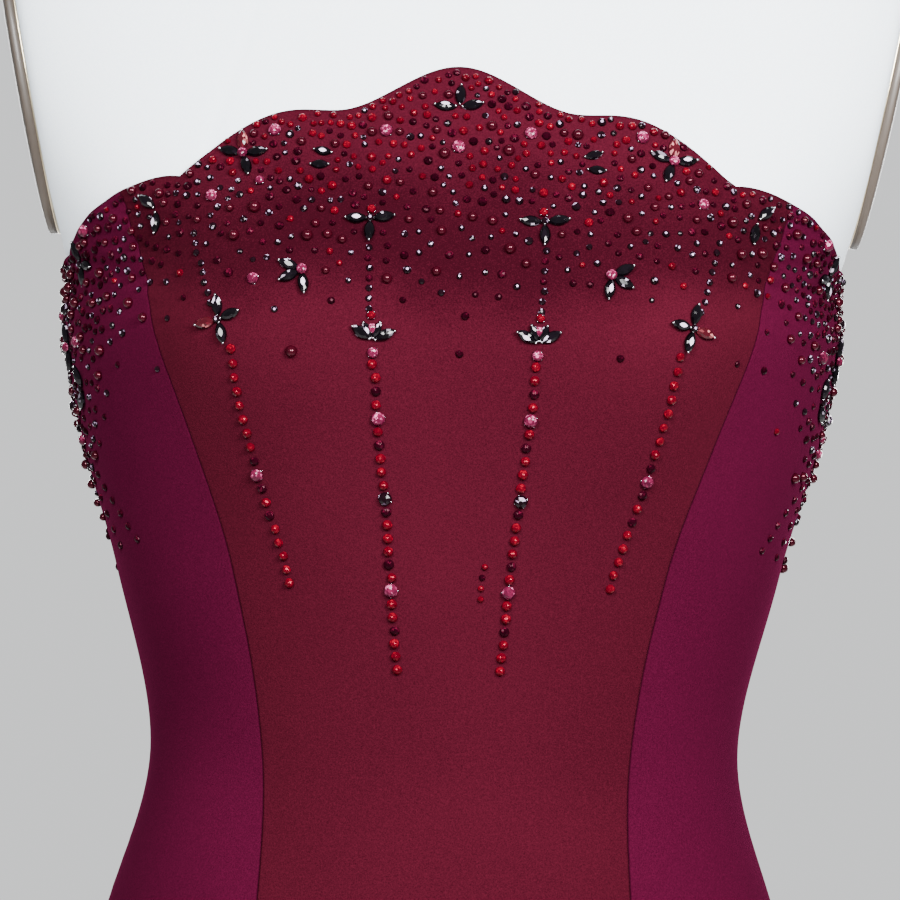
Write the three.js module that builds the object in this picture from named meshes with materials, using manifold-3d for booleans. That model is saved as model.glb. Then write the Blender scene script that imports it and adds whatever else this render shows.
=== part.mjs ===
// A floor-length strapless gown worn by a limbless dress form on its stand.
// Millimetres, +Z up, +X to the wearer's left, the front faces -Y.
// The origin is the middle of the stand's underside, on the floor.
import * as THREE from 'three';
import { mergeVertices } from 'three/addons/utils/BufferGeometryUtils.js';
import Module from 'manifold-3d';

const wasm = await Module();
wasm.setup();

// Driving sizes of the gown
const HEM_HEIGHT = 12;
const WALL = 1.6; // crepe on its interlining
const EASE = 0.8; // between the form and the cloth
const SEAM_GAP = 0.3;
const SETTLING_ROUNDS = 8;
const TOP_START = 1180; // rows above this rise to follow the neckline
const SCALLOP_SHARPNESS = 1.2;

// Driving sizes of the bust cups
const CUP = { angle: 36, height: 1272, depth: 13, spread: 17, rise: 48 };

// Driving sizes of the form and its stand
const FORM_BOTTOM = 800;
const ARMHOLE = { height: 1308, offset: 164.4, slope: 0.195, softness: 3 };
const PLATE = { height: 1380, depthShift: 5, tall: 69, deep: 36, dome: 3, rim: 4 };
const NECK = { top: 1566, depthShift: 3.5 };
const NECK_CAP = [ // the turned cap's outline, from its underside up
  { radius: 0, height: 0 },
  { radius: 55, height: 0 },
  { radius: 57, height: 3 },
  { radius: 56, height: 7 },
  { radius: 39.6, height: 11 },
  { radius: 16.5, height: 14 },
  { radius: 11, height: 20 },
  { radius: 0, height: 22 },
];
const TURNED_SIDES = 24;
const BOARD = { thickness: 12, inset: 6, columns: 32 };
const POLE = { radius: 14 };
const BASE = { radius: 175, thickness: 12, hubRadius: 30, hubHeight: 34, sides: 48 };

// Driving sizes of the back zip
const ZIP = { bottom: 905, runIn: 12, chainHalf: 2, chainDepth: 1.5, sunk: 0.1, topDrop: 5 };
const ZIP_TOP_ROWS = [1210, 1240]; // the chain's rows above those of the skirt
const ZIP_STOP = 1; // between the slider and the chain's end
const SLIDER = { width: 7, length: 10, thickness: 2, post: 2.2, postHeight: 2 };
const PIN = { radius: 0.6, clearance: 0.3, sides: 12 };
const PULL = { width: 6.4, length: 22, thickness: 1.2, ear: 1.5, fork: 4.2 };

// The figure's level sections: half width, depth to the front and to the back, and how square.
const FIGURE = [
  { height: 12, side: 300, front: 276, back: 306, square: 2.0 },
  { height: 100, side: 268, front: 246, back: 270, square: 2.0 },
  { height: 200, side: 236, front: 214, back: 232, square: 2.0 },
  { height: 300, side: 206, front: 182, back: 196, square: 2.02 },
  { height: 400, side: 179, front: 153, back: 164, square: 2.04 },
  { height: 500, side: 160, front: 131, back: 140, square: 2.06 },
  { height: 600, side: 153, front: 119, back: 127, square: 2.1 },
  { height: 700, side: 156, front: 114, back: 122, square: 2.15 },
  { height: 800, side: 164, front: 112, back: 126, square: 2.2 },
  { height: 860, side: 169, front: 112, back: 132, square: 2.2 },
  { height: 905, side: 170, front: 112, back: 133, square: 2.2 },
  { height: 940, side: 166, front: 111, back: 130, square: 2.2 },
  { height: 980, side: 156, front: 109, back: 121, square: 2.15 },
  { height: 1035, side: 136.5, front: 102, back: 106, square: 2.1 },
  { height: 1100, side: 120.5, front: 93, back: 90, square: 2.1 },
  { height: 1174, side: 137, front: 104, back: 97, square: 2.2 },
  { height: 1228, side: 152, front: 117, back: 105, square: 2.3 },
  { height: 1270, side: 159.5, front: 123, back: 111, square: 2.4 },
  { height: 1294, side: 159.5, front: 120.4, back: 113, square: 2.43 },
  { height: 1312, side: 167.5, front: 116.4, back: 114, square: 2.45 },
  { height: 1345, side: 184, front: 106, back: 115, square: 2.45 },
  { height: 1380, side: 198, front: 92, back: 114, square: 2.4 },
  { height: 1413, side: 205, front: 80, back: 110, square: 2.4 },
  { height: 1440, side: 204, front: 71, back: 103, square: 2.35 },
  { height: 1462, side: 190, front: 64, back: 94, square: 2.3 },
  { height: 1475, side: 158, front: 60, back: 87, square: 2.25 },
  { height: 1488, side: 126, front: 57, back: 80, square: 2.2 },
  { height: 1501, side: 96, front: 54, back: 72, square: 2.1 },
  { height: 1514, side: 74, front: 52, back: 65, square: 2.05 },
  { height: 1530, side: 63, front: 50, back: 60, square: 2.0 },
  { height: 1566, side: 57, front: 50, back: 57, square: 2.0 },
];

// The neckline, from the centre front to the centre back. Each stretch starts at an angle and a
// height, and rises in a scallop; peak says how far along it the scallop is highest.
const NECKLINE = [
  { angle: -22, height: 1360.5, scallop: 17, peak: 0.5 },
  { angle: 22, height: 1360.5, scallop: 12.8, peak: 0.587 },
  { angle: 49.3, height: 1331, scallop: 5.2, peak: 0.315 },
  { angle: 75, height: 1302, scallop: 0, peak: 0.5 },
  { angle: 110, height: 1294, scallop: 0, peak: 0.5 },
  { angle: 145, height: 1289, scallop: 0, peak: 0.5 },
  { angle: 180, height: 1287, scallop: 0, peak: 0.5 },
];

// Where the seams run: the angle from the centre front, at each height.
const FRONT_SEAM = [
  { height: 12, angle: 33 },
  { height: 800, angle: 36 },
  { height: 950, angle: 38 },
  { height: 1042, angle: 41 },
  { height: 1100, angle: 44.2 },
  { height: 1150, angle: 45 },
  { height: 1200, angle: 46.2 },
  { height: 1245, angle: 47.6 },
  { height: 1272, angle: 50 },
  { height: 1288, angle: 52.2 },
  { height: 1311, angle: 56 },
  { height: 1330, angle: 58.8 },
];
const SIDE_SEAM = [
  { height: 12, angle: 92 },
  { height: 1330, angle: 92 },
];
const BACK_SEAM = [
  { height: 12, angle: 147 },
  { height: 800, angle: 145 },
  { height: 950, angle: 143 },
  { height: 1100, angle: 140 },
  { height: 1200, angle: 136 },
  { height: 1300, angle: 129 },
];
const CENTRE_BACK = [
  { height: 12, angle: 180 },
  { height: 1330, angle: 180 },
];

// The flutes that the flared hem falls into: where each ridge is, its half width in degrees, how
// far it stands out at the hem, and the height where it dies away.
const FLUTES = [
  { angle: -4, width: 15, depth: 26, start: 560 },
  { angle: 29, width: 14, depth: 36, start: 640 },
  { angle: 58, width: 13, depth: 27, start: 520 },
  { angle: 88, width: 15, depth: 38, start: 660 },
  { angle: 118, width: 13, depth: 29, start: 540 },
  { angle: 145, width: 14, depth: 37, start: 640 },
  { angle: 173, width: 13, depth: 30, start: 560 },
  { angle: -34, width: 14, depth: 37, start: 650 },
  { angle: -63, width: 14, depth: 25, start: 500 },
  { angle: -93, width: 15, depth: 36, start: 650 },
  { angle: -122, width: 13, depth: 31, start: 560 },
  { angle: -149, width: 13, depth: 35, start: 630 },
];
const FLUTE_GROWTH = 1.6;

// The gown's panels, by their seams, with the number of strips across each and, where the
// neckline has cusps, how many strips lie between them.
const PANELS = [
  {
    name: 'front_centre_panel',
    from: FRONT_SEAM,
    to: FRONT_SEAM,
    sides: [-1, 1],
    strips: 24,
    spread: [
      { strip: 0, share: 0 },
      { strip: 2, share: 0.081 },
      { strip: 7, share: 0.313 },
      { strip: 17, share: 0.687 },
      { strip: 22, share: 0.919 },
      { strip: 24, share: 1 },
    ],
  },
  { name: 'front_side_panel_left', from: FRONT_SEAM, to: SIDE_SEAM, sides: [1, 1], strips: 12 },
  { name: 'back_side_panel_left', from: SIDE_SEAM, to: BACK_SEAM, sides: [1, 1], strips: 10 },
  { name: 'back_centre_panel_left', from: BACK_SEAM, to: CENTRE_BACK, sides: [1, 1], strips: 8 },
  { name: 'back_centre_panel_right', from: CENTRE_BACK, to: BACK_SEAM, sides: [-1, -1], strips: 8 },
  { name: 'back_side_panel_right', from: BACK_SEAM, to: SIDE_SEAM, sides: [-1, -1], strips: 10 },
  { name: 'front_side_panel_right', from: SIDE_SEAM, to: FRONT_SEAM, sides: [-1, -1], strips: 12 },
];
const SKIRT_ROWS = [
  12, 130, 250, 370, 485, 595, 700, 800, 850, 893, 905, 932, 968, 1010, 1055, 1100, 1140, 1180,
];
const TOP_ROWS = 7;

// The form's rows above the neckline: a few that level out, by their share of the way up to
// the first level row, and then the shoulders and neck.
const LEVELLING = [0.1, 0.35, 0.65, 1];
const FORM_ROWS = [1400, 1420, 1436, 1450, 1462, 1475, 1488, 1501, 1514, 1530, 1566];

// The stone flowers on the bodice. Each petal is turned clockwise from straight up, about a root
// that lies a little off the flower's middle where x or y is given. The turns are those of the
// wearer's left side, and the right side has them mirrored.
const PETALS = {
  trio: [{ turn: 0 }, { turn: 82 }, { turn: 278 }],
  bloom: [{ turn: 15 }, { turn: 80 }, { turn: 200 }, { turn: 290 }],
  pair: [{ turn: 80, x: -5.5, y: 2.7 }, { turn: 97, x: -4.5, y: -2.2 }],
  tee: [{ turn: 84 }, { turn: 180 }, { turn: 276 }],
  fan: [{ turn: 62 }, { turn: 115 }, { turn: 190 }],
  cross: [{ turn: 8 }, { turn: 108 }, { turn: 195 }, { turn: 284 }],
  cup: [{ turn: 26 }, { turn: 70 }, { turn: 290 }, { turn: 334 }],
};
const PETAL = { length: 9.5, width: 4.4, height: 2, table: 0.55, root: 1.2 };
const FLOWER_HUB = { radius: 2.6, height: 1.4, sides: 8 };
const FLOWERS = [
  { kind: 'trio', angle: 0, height: 1360, mirrored: false },
  { kind: 'bloom', angle: 40, height: 1340, mirrored: true },
  { kind: 'pair', angle: 27, height: 1338, mirrored: true },
  { kind: 'tee', angle: 16.7, height: 1314.5, mirrored: true },
  { kind: 'fan', angle: 26.5, height: 1293.5, mirrored: true },
  { kind: 'cross', angle: 37.5, height: 1274, mirrored: true },
  { kind: 'cup', angle: 15, height: 1266, mirrored: true },
];

// The strings of stones that hang from the lowest flowers.
const STRINGS = [
  {
    name: 'outer',
    stones: 18,
    path: [
      { height: 1170, angle: 34 },
      { height: 1213, angle: 36.2 },
      { height: 1263, angle: 36 },
    ],
  },
  {
    name: 'inner',
    stones: 24,
    path: [
      { height: 1136, angle: 12.1 },
      { height: 1205, angle: 13.6 },
      { height: 1258, angle: 14.7 },
    ],
  },
];
const STONE = { radius: 2.1, waist: 0.8, height: 2.2, sides: 4 };
const LIFT = 0.35; // what lies on the cloth, off its surface
const REACH = 40; // from where its place on the cloth is looked for
const UNDERSIDE = 0.01; // what counts as the underside of a flat piece

const PAINT = {
  cloth: { color: 0x6d1d31, roughness: 0.72, metalness: 0 },
  sideCloth: { color: 0x69163a, roughness: 0.7, metalness: 0 },
  form: { color: 0xeef1f6, roughness: 0.85, metalness: 0 },
  plate: { color: 0x8d7a68, roughness: 0.5, metalness: 0 },
  wood: { color: 0x9a7350, roughness: 0.45, metalness: 0 },
  steel: { color: 0x2a2a2d, roughness: 0.35, metalness: 0.8 },
  zip: { color: 0x4d1524, roughness: 0.5, metalness: 0 },
  zipMetal: { color: 0x5b2a33, roughness: 0.3, metalness: 0.9 },
  crystal: { color: 0x23232e, roughness: 0.08, metalness: 0.3 },
  stone: { color: 0xa0142a, roughness: 0.1, metalness: 0.2 },
};

const radians = THREE.MathUtils.degToRad;

// Finds the row of a table below a key, and how far the key is towards the next row.
function place(table, key, value) {
  let i = 0;
  while (i < table.length - 2 && value > table[i + 1][key]) i += 1;
  const step = table[i + 1][key] - table[i][key];
  return { i, step, t: THREE.MathUtils.clamp((value - table[i][key]) / step, 0, 1) };
}

// The slope of a table's column at a row, from its neighbours.
function slope(table, key, column, i) {
  const a = table[Math.max(i - 1, 0)];
  const b = table[Math.min(i + 1, table.length - 1)];
  return (b[column] - a[column]) / (b[key] - a[key]);
}

// A smooth curve through a table's column: a cubic between rows, with the rows' own slopes.
function smooth(table, key, column, value) {
  const { i, step, t } = place(table, key, value);
  const rise = t * t * (3 - 2 * t);
  const leave = t * (1 - t) * (1 - t) * step * slope(table, key, column, i);
  const arrive = t * t * (t - 1) * step * slope(table, key, column, i + 1);
  return table[i][column] * (1 - rise) + table[i + 1][column] * rise + leave + arrive;
}

// The neckline's height at an angle from the centre front, the same on both sides.
function necklineHeight(degrees) {
  const { i, t } = place(NECKLINE, 'angle', Math.abs(degrees));
  const start = NECKLINE[i];
  const skew = Math.log(0.5) / Math.log(start.peak);
  const bulge = Math.sin(Math.PI * t ** skew) ** SCALLOP_SHARPNESS;
  return THREE.MathUtils.lerp(start.height, NECKLINE[i + 1].height, t) + start.scallop * bulge;
}

// How far the flutes push the skirt out.
function fluteDepth(degrees, height) {
  let sum = 0;
  for (const f of FLUTES) {
    const turn = ((degrees - f.angle + 540) % 360) - 180;
    const near = Math.max(0, 1 - Math.abs(turn) / f.width);
    const fall = THREE.MathUtils.clamp((f.start - height) / (f.start - HEM_HEIGHT), 0, 1);
    sum += f.depth * Math.sin((Math.PI / 2) * near) ** 2 * fall ** FLUTE_GROWTH;
  }
  return sum;
}

// The bust cup's swell, which dies away in the round and up and down.
function cupDepth(degrees, height) {
  const across = (Math.abs(degrees) - CUP.angle) / CUP.spread;
  const up = (height - CUP.height) / CUP.rise;
  return CUP.depth * Math.exp(-across * across - up * up);
}

// The flat side that the armhole is cut to: the lesser of two widths, rounded where they meet.
function armholeCut(x, height) {
  const above = height - ARMHOLE.height;
  const side = ARMHOLE.offset + (above > 0 ? ARMHOLE.slope * above : -0.5 * above);
  const apart = Math.abs(x) - side;
  const cut = (Math.abs(x) + side - Math.hypot(apart, ARMHOLE.softness)) / 2;
  return Math.sign(x) * Math.min(Math.abs(x), cut);
}

// A point of the figure's surface. A level section is a polar superellipse, and the skirt's
// flutes and the cups stand out from it.
function figurePoint(degrees, height) {
  const turn = radians(degrees);
  const row = (column) => smooth(FIGURE, 'height', column, height);
  const depth = Math.cos(turn) > 0 ? row('front') : row('back');
  const power = row('square');
  const across = Math.abs(Math.sin(turn) / row('side')) ** power;
  const along = Math.abs(Math.cos(turn) / depth) ** power;
  const radius =
    (across + along) ** (-1 / power) + cupDepth(degrees, height) + fluteDepth(degrees, height);
  const x = armholeCut(radius * Math.sin(turn), height);
  return new THREE.Vector3(x, -radius * Math.cos(turn), height);
}

// The figure's outward normal, from points a little to each side.
function figureNormal(degrees, height) {
  const round = figurePoint(degrees + 0.5, height).sub(figurePoint(degrees - 0.5, height));
  const up = figurePoint(degrees, height + 1).sub(figurePoint(degrees, height - 1));
  return round.cross(up).normalize();
}

function liftedPoint(degrees, height, lift) {
  return figurePoint(degrees, height).addScaledVector(figureNormal(degrees, height), lift);
}

// A closed mesh from a grid of outer points and the grid behind it.
function wallGeometry(outer, inner) {
  const rows = outer.length;
  const columns = outer[0].length;
  const points = [...outer.flat(), ...inner.flat()];
  const faces = [];
  const out = (r, c) => r * columns + c;
  const back = (r, c) => rows * columns + r * columns + c;
  const quad = (a, b, c, d) => faces.push(a, b, c, a, c, d);
  for (let r = 0; r < rows - 1; r += 1) {
    for (let c = 0; c < columns - 1; c += 1) {
      quad(out(r, c), out(r, c + 1), out(r + 1, c + 1), out(r + 1, c));
      quad(back(r, c), back(r + 1, c), back(r + 1, c + 1), back(r, c + 1));
    }
    quad(out(r, 0), out(r + 1, 0), back(r + 1, 0), back(r, 0));
    quad(out(r, columns - 1), back(r, columns - 1), back(r + 1, columns - 1), out(r + 1, columns - 1));
  }
  for (let c = 0; c < columns - 1; c += 1) {
    quad(out(0, c), back(0, c), back(0, c + 1), out(0, c + 1));
    quad(out(rows - 1, c), out(rows - 1, c + 1), back(rows - 1, c + 1), back(rows - 1, c));
  }
  return new THREE.BufferGeometry().setFromPoints(points).setIndex(faces);
}

// A closed mesh from rings of points, one above the other, with flat ends.
function ringsGeometry(rings) {
  const count = rings[0].length;
  const points = rings.flat();
  const faces = [];
  for (let r = 0; r < rings.length - 1; r += 1) {
    for (let c = 0; c < count; c += 1) {
      const next = (c + 1) % count;
      const low = r * count;
      const high = low + count;
      faces.push(low + c, low + next, high + next, low + c, high + next, high + c);
    }
  }
  for (const [ring, flip] of [[0, true], [rings.length - 1, false]]) {
    const middle = points.length;
    const sum = rings[ring].reduce((a, p) => a.add(p), new THREE.Vector3());
    points.push(sum.divideScalar(count));
    for (let c = 0; c < count; c += 1) {
      const a = ring * count + c;
      const b = ring * count + ((c + 1) % count);
      faces.push(...(flip ? [b, a, middle] : [a, b, middle]));
    }
  }
  return new THREE.BufferGeometry().setFromPoints(points).setIndex(faces);
}

function solidOf(geometry) {
  const bare = geometry.clone();
  bare.deleteAttribute('normal');
  bare.deleteAttribute('uv');
  const merged = mergeVertices(bare, 1e-3);
  return new wasm.Manifold(new wasm.Mesh({
    numProp: 3,
    vertProperties: merged.attributes.position.array,
    triVerts: new Uint32Array(merged.index.array),
  }));
}

function geometryOf(solid) {
  const mesh = solid.getMesh();
  return new THREE.BufferGeometry()
    .setAttribute('position', new THREE.BufferAttribute(mesh.vertProperties, 3))
    .setIndex(new THREE.BufferAttribute(mesh.triVerts, 1));
}

function meshOf(name, geometry, paint) {
  const mesh = new THREE.Mesh(geometry, new THREE.MeshStandardMaterial(paint));
  mesh.name = name;
  return mesh;
}

function boxOf(width, depth, height, x, y, z) {
  return new THREE.BoxGeometry(width, depth, height).translate(x, y, z);
}

// A cylinder along X.
function crossCylinder(radius, length, sides, y, z) {
  return new THREE.CylinderGeometry(radius, radius, length, sides)
    .rotateZ(Math.PI / 2)
    .translate(0, y, z);
}

// A row's height: rows below TOP_START are level, those above share out the rise to the
// neckline, and those over the neckline, which only the form has, level out again.
function rowHeight(row, degrees) {
  const rise = row - SKIRT_ROWS.length + 1;
  if (rise <= 0) return SKIRT_ROWS[row];
  const neckline = necklineHeight(degrees);
  if (rise <= TOP_ROWS) return THREE.MathUtils.lerp(TOP_START, neckline, rise / TOP_ROWS);
  const level = rise - TOP_ROWS;
  if (level <= LEVELLING.length) {
    return THREE.MathUtils.lerp(neckline, FORM_ROWS[0], LEVELLING[level - 1]);
  }
  return FORM_ROWS[level - LEVELLING.length];
}

// A seam's angle at a height, moved to one side by half the gap there.
function seamAngle(seam, side, height, towards) {
  const angle = side * smooth(seam, 'height', 'angle', height);
  if (towards === 0) return angle;
  const open = THREE.MathUtils.smoothstep(height, ZIP.bottom - ZIP.runIn, ZIP.bottom);
  const zipped = seam === CENTRE_BACK ? (ZIP.chainHalf + SEAM_GAP / 2) * open : 0;
  const half = SEAM_GAP / 2 + zipped;
  const point = figurePoint(angle, height);
  return angle + towards * THREE.MathUtils.radToDeg(half / Math.hypot(point.x, point.y));
}

// How far across its panel a column lies.
function columnShare(panel, column) {
  if (!panel.spread) return column / panel.strips;
  const { i, t } = place(panel.spread, 'strip', column);
  return THREE.MathUtils.lerp(panel.spread[i].share, panel.spread[i + 1].share, t);
}

// One point of a panel. The seams' angles depend on the height, and near the neckline the
// height depends on the angle, so the two are settled in a few rounds.
function panelPoint(panel, column, row, lift, gap) {
  const share = columnShare(panel, column);
  let degrees = 0;
  let height = TOP_START;
  for (let round = 0; round < SETTLING_ROUNDS; round += 1) {
    const start = seamAngle(panel.from, panel.sides[0], height, gap);
    const end = seamAngle(panel.to, panel.sides[1], height, -gap);
    degrees = THREE.MathUtils.lerp(start, end, share);
    height = rowHeight(row, degrees);
  }
  return liftedPoint(degrees, height, lift);
}

function panelMesh(panel, paint) {
  const rows = SKIRT_ROWS.length + TOP_ROWS;
  const grid = (lift) => Array.from({ length: rows }, (_, row) =>
    Array.from({ length: panel.strips + 1 }, (_, column) =>
      panelPoint(panel, column, row, lift, 1)));
  return meshOf(panel.name, wallGeometry(grid(EASE + WALL), grid(EASE)), paint);
}

function gownPanels() {
  return PANELS.map((panel) =>
    panelMesh(panel, panel.name.includes('_side_') ? PAINT.sideCloth : PAINT.cloth));
}

// The form: the figure itself from the hips to the neck, on the gown's own rows and columns so
// that the space between them stays even. Outside the front it takes every second column.
function formTorso() {
  const ring = (row) => PANELS.flatMap((panel) => {
    const step = panel.spread ? 1 : 2;
    return Array.from({ length: panel.strips / step }, (_, column) =>
      panelPoint(panel, column * step, row, 0, 0));
  });
  const first = SKIRT_ROWS.indexOf(FORM_BOTTOM);
  const last = SKIRT_ROWS.length + TOP_ROWS + LEVELLING.length + FORM_ROWS.length - 2;
  const rings = Array.from({ length: last - first + 1 }, (_, i) => ring(first + i));
  return meshOf('form_torso', ringsGeometry(rings), PAINT.form);
}

// The board that closes the form underneath, a little inside its edge.
function formBoard() {
  const top = FORM_BOTTOM - SEAM_GAP;
  const ring = (height) => Array.from({ length: BOARD.columns }, (_, c) => {
    const point = figurePoint((360 * c) / BOARD.columns - 180, FORM_BOTTOM);
    const inward = 1 - BOARD.inset / Math.hypot(point.x, point.y);
    return new THREE.Vector3(point.x * inward, point.y * inward, height);
  });
  return meshOf('form_base_board', ringsGeometry([ring(top - BOARD.thickness), ring(top)]), PAINT.wood);
}

// A shallow domed oval that caps an armhole, leaning with the cut.
function armholePlate(name, side) {
  const profile = [
    new THREE.Vector2(0, 0),
    new THREE.Vector2(1, 0),
    new THREE.Vector2(1, PLATE.rim),
    new THREE.Vector2(0.8, PLATE.rim + 0.5 * PLATE.dome),
    new THREE.Vector2(0.45, PLATE.rim + 0.9 * PLATE.dome),
    new THREE.Vector2(0, PLATE.rim + PLATE.dome),
  ];
  const geometry = new THREE.LatheGeometry(profile, TURNED_SIDES);
  geometry.scale(PLATE.deep, 1, PLATE.tall);
  geometry.rotateZ(-Math.PI / 2 * side);
  const plate = meshOf(name, geometry, PAINT.plate);
  const offset = ARMHOLE.offset + ARMHOLE.slope * (PLATE.height - ARMHOLE.height);
  plate.rotation.y = side * Math.atan(ARMHOLE.slope);
  plate.position.set(side * (offset + SEAM_GAP), PLATE.depthShift, PLATE.height);
  return plate;
}

function neckCap() {
  const profile = NECK_CAP.map(({ radius, height }) => new THREE.Vector2(radius, height));
  const cap = new THREE.LatheGeometry(profile, TURNED_SIDES).rotateX(Math.PI / 2);
  return meshOf('neck_cap', cap.translate(0, NECK.depthShift, NECK.top + SEAM_GAP), PAINT.wood);
}

function uprightCylinder(name, radius, bottom, top, sides, paint) {
  const height = top - bottom;
  const geometry = new THREE.CylinderGeometry(radius, radius, height, sides).rotateX(Math.PI / 2);
  return meshOf(name, geometry.translate(0, 0, bottom + height / 2), paint);
}

// The stand: a round base, a hub on it, and the pole that carries the form.
function stand() {
  const hubBottom = BASE.thickness + SEAM_GAP;
  const poleBottom = hubBottom + BASE.hubHeight + SEAM_GAP;
  const poleTop = FORM_BOTTOM - 2 * SEAM_GAP - BOARD.thickness;
  return [
    uprightCylinder('stand_base', BASE.radius, 0, BASE.thickness, BASE.sides, PAINT.steel),
    uprightCylinder('stand_hub', BASE.hubRadius, hubBottom, poleBottom - SEAM_GAP, TURNED_SIDES,
      PAINT.steel),
    uprightCylinder('stand_pole', POLE.radius, poleBottom, poleTop, TURNED_SIDES, PAINT.steel),
  ];
}

// The closed chain of the zip, a narrow strip between the two back panels.
function zipChain() {
  const top = necklineHeight(180) - ZIP.topDrop;
  const rows = SKIRT_ROWS.filter((h) => h > ZIP.bottom && h <= TOP_START);
  const heights = [ZIP.bottom + ZIP_STOP, ...rows, ...ZIP_TOP_ROWS, top];
  const grid = (lift) => heights.map((height) => {
    const middle = liftedPoint(180, height, lift);
    return [ZIP.chainHalf, -ZIP.chainHalf].map((x) => new THREE.Vector3(x, middle.y, height));
  });
  const outer = EASE + WALL - ZIP.sunk;
  return meshOf('zip_chain', wallGeometry(grid(outer), grid(outer - ZIP.chainDepth)), PAINT.zip);
}

// Where the slider sits, against the chain near the neckline.
function sliderSeat() {
  const height = necklineHeight(180) - ZIP.topDrop - SLIDER.length / 2 - ZIP_STOP;
  const surface = Math.max(...[-1, 0, 1].map((step) =>
    liftedPoint(180, height + (step * SLIDER.length) / 2, EASE + WALL).y));
  return { y: surface + SEAM_GAP, z: height };
}

// The middle of the cross pin, clear of the slider's body by the seam gap.
function pinCentre() {
  const seat = sliderSeat();
  return { y: seat.y + SLIDER.thickness + PULL.ear + SEAM_GAP, z: seat.z + SLIDER.length / 4 };
}

// The slider's body with the post and cross pin that its pull hangs on.
function zipSlider() {
  const seat = sliderSeat();
  const pin = pinCentre();
  const reach = pin.y + PIN.radius - seat.y;
  const body = solidOf(
    boxOf(SLIDER.width, SLIDER.thickness, SLIDER.length, 0, seat.y + SLIDER.thickness / 2, seat.z),
  );
  const post = solidOf(
    boxOf(SLIDER.post, reach, SLIDER.postHeight, 0, seat.y + reach / 2, pin.z),
  );
  const cross = solidOf(crossCylinder(PIN.radius, PULL.width, PIN.sides, pin.y, pin.z));
  return meshOf('zip_slider', geometryOf(body.add(post).add(cross)), PAINT.zipMetal);
}

// The pull: a drop-shaped plate whose forked top turns on the slider's pin.
function zipPull() {
  const pin = pinCentre();
  const half = PULL.width / 2;
  const shape = new THREE.Shape();
  shape.moveTo(-half, 0);
  shape.lineTo(-half * 0.8, -PULL.fork);
  shape.lineTo(-half, -PULL.length + half);
  shape.absarc(0, -PULL.length + half, half, Math.PI, 2 * Math.PI, false);
  shape.lineTo(half * 0.8, -PULL.fork);
  shape.lineTo(half, 0);
  const plate = new THREE.ExtrudeGeometry(shape, {
    depth: PULL.thickness,
    bevelEnabled: false,
    curveSegments: 4,
  });
  plate.rotateX(Math.PI / 2).translate(0, pin.y + PULL.thickness / 2, pin.z);
  const ears = solidOf(crossCylinder(PULL.ear, PULL.width, PIN.sides, pin.y, pin.z));
  const bore = crossCylinder(PIN.radius + PIN.clearance, PULL.width + 2, PIN.sides, pin.y, pin.z);
  const slot = boxOf(SLIDER.post + 1, 6, 2 * PULL.fork, 0, pin.y, pin.z);
  const solid = solidOf(plate).add(ears).subtract(solidOf(bore)).subtract(solidOf(slot));
  return meshOf('zip_pull', geometryOf(solid), PAINT.zipMetal);
}

// A navette stone, pointed at both ends, lying along +Y with its root near the origin.
function petalSolid() {
  const outline = [
    [0, 0],
    [0.42, 0.28],
    [0.5, 0.55],
    [0.3, 0.86],
    [0, 1],
    [-0.3, 0.86],
    [-0.5, 0.55],
    [-0.42, 0.28],
  ];
  const ring = (scale, height) => outline.map(([x, y]) => {
    const along = (0.5 + (y - 0.5) * scale) * PETAL.length;
    return new THREE.Vector3(x * scale * PETAL.width, PETAL.root + along, height);
  });
  return solidOf(ringsGeometry([ring(1, 0), ring(PETAL.table, PETAL.height)]));
}

// A flower of navette stones on a small setting, flat against the cloth.
function flowerGeometry(kind, mirror) {
  const hub = new THREE.CylinderGeometry(
    FLOWER_HUB.radius,
    FLOWER_HUB.radius,
    FLOWER_HUB.height,
    FLOWER_HUB.sides,
  ).rotateX(Math.PI / 2).translate(0, 0, FLOWER_HUB.height / 2);
  const petals = PETALS[kind].map(({ turn, x = 0, y = 0 }) =>
    petalSolid().rotate([0, 0, -mirror * turn]).translate([mirror * x, y, 0]));
  return geometryOf(petals.reduce((solid, petal) => solid.add(petal), solidOf(hub)));
}

// How far the panels' faces stand above a point, along a normal; below zero if under it.
function clothRise(panels, point, normal) {
  const outside = point.clone().addScaledVector(normal, REACH);
  const hit = new THREE.Raycaster(outside, normal.clone().negate()).intersectObjects(panels)[0];
  return REACH - hit.distance;
}

// Places a flat piece on the cloth, with its +Y up the cloth and its +Z off it, so that the
// nearest corner of its underside is one lift off the panels' faces.
function layOnCloth(mesh, panels, degrees, height) {
  const normal = figureNormal(degrees, height);
  const across = new THREE.Vector3(0, 0, 1).cross(normal).normalize();
  const up = normal.clone().cross(across);
  mesh.setRotationFromMatrix(new THREE.Matrix4().makeBasis(across, up, normal));
  mesh.position.copy(liftedPoint(degrees, height, EASE + WALL));
  mesh.updateMatrixWorld();
  const corners = mesh.geometry.attributes.position;
  let rise = -REACH;
  for (let i = 0; i < corners.count; i += 1) {
    if (corners.getZ(i) > UNDERSIDE) continue;
    const corner = new THREE.Vector3().fromBufferAttribute(corners, i);
    rise = Math.max(rise, clothRise(panels, corner.applyMatrix4(mesh.matrixWorld), normal));
  }
  mesh.position.addScaledVector(normal, rise + LIFT);
  return mesh;
}

function stoneFlowers(panels) {
  return FLOWERS.flatMap(({ kind, angle, height, mirrored }) =>
    (mirrored ? [1, -1] : [1]).map((side) => {
      const suffix = mirrored ? (side > 0 ? '_left' : '_right') : '';
      const geometry = flowerGeometry(kind, side);
      const flower = meshOf(`flower_${kind}${suffix}`, geometry, PAINT.crystal);
      return layOnCloth(flower, panels, side * angle, height);
    }));
}

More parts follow.
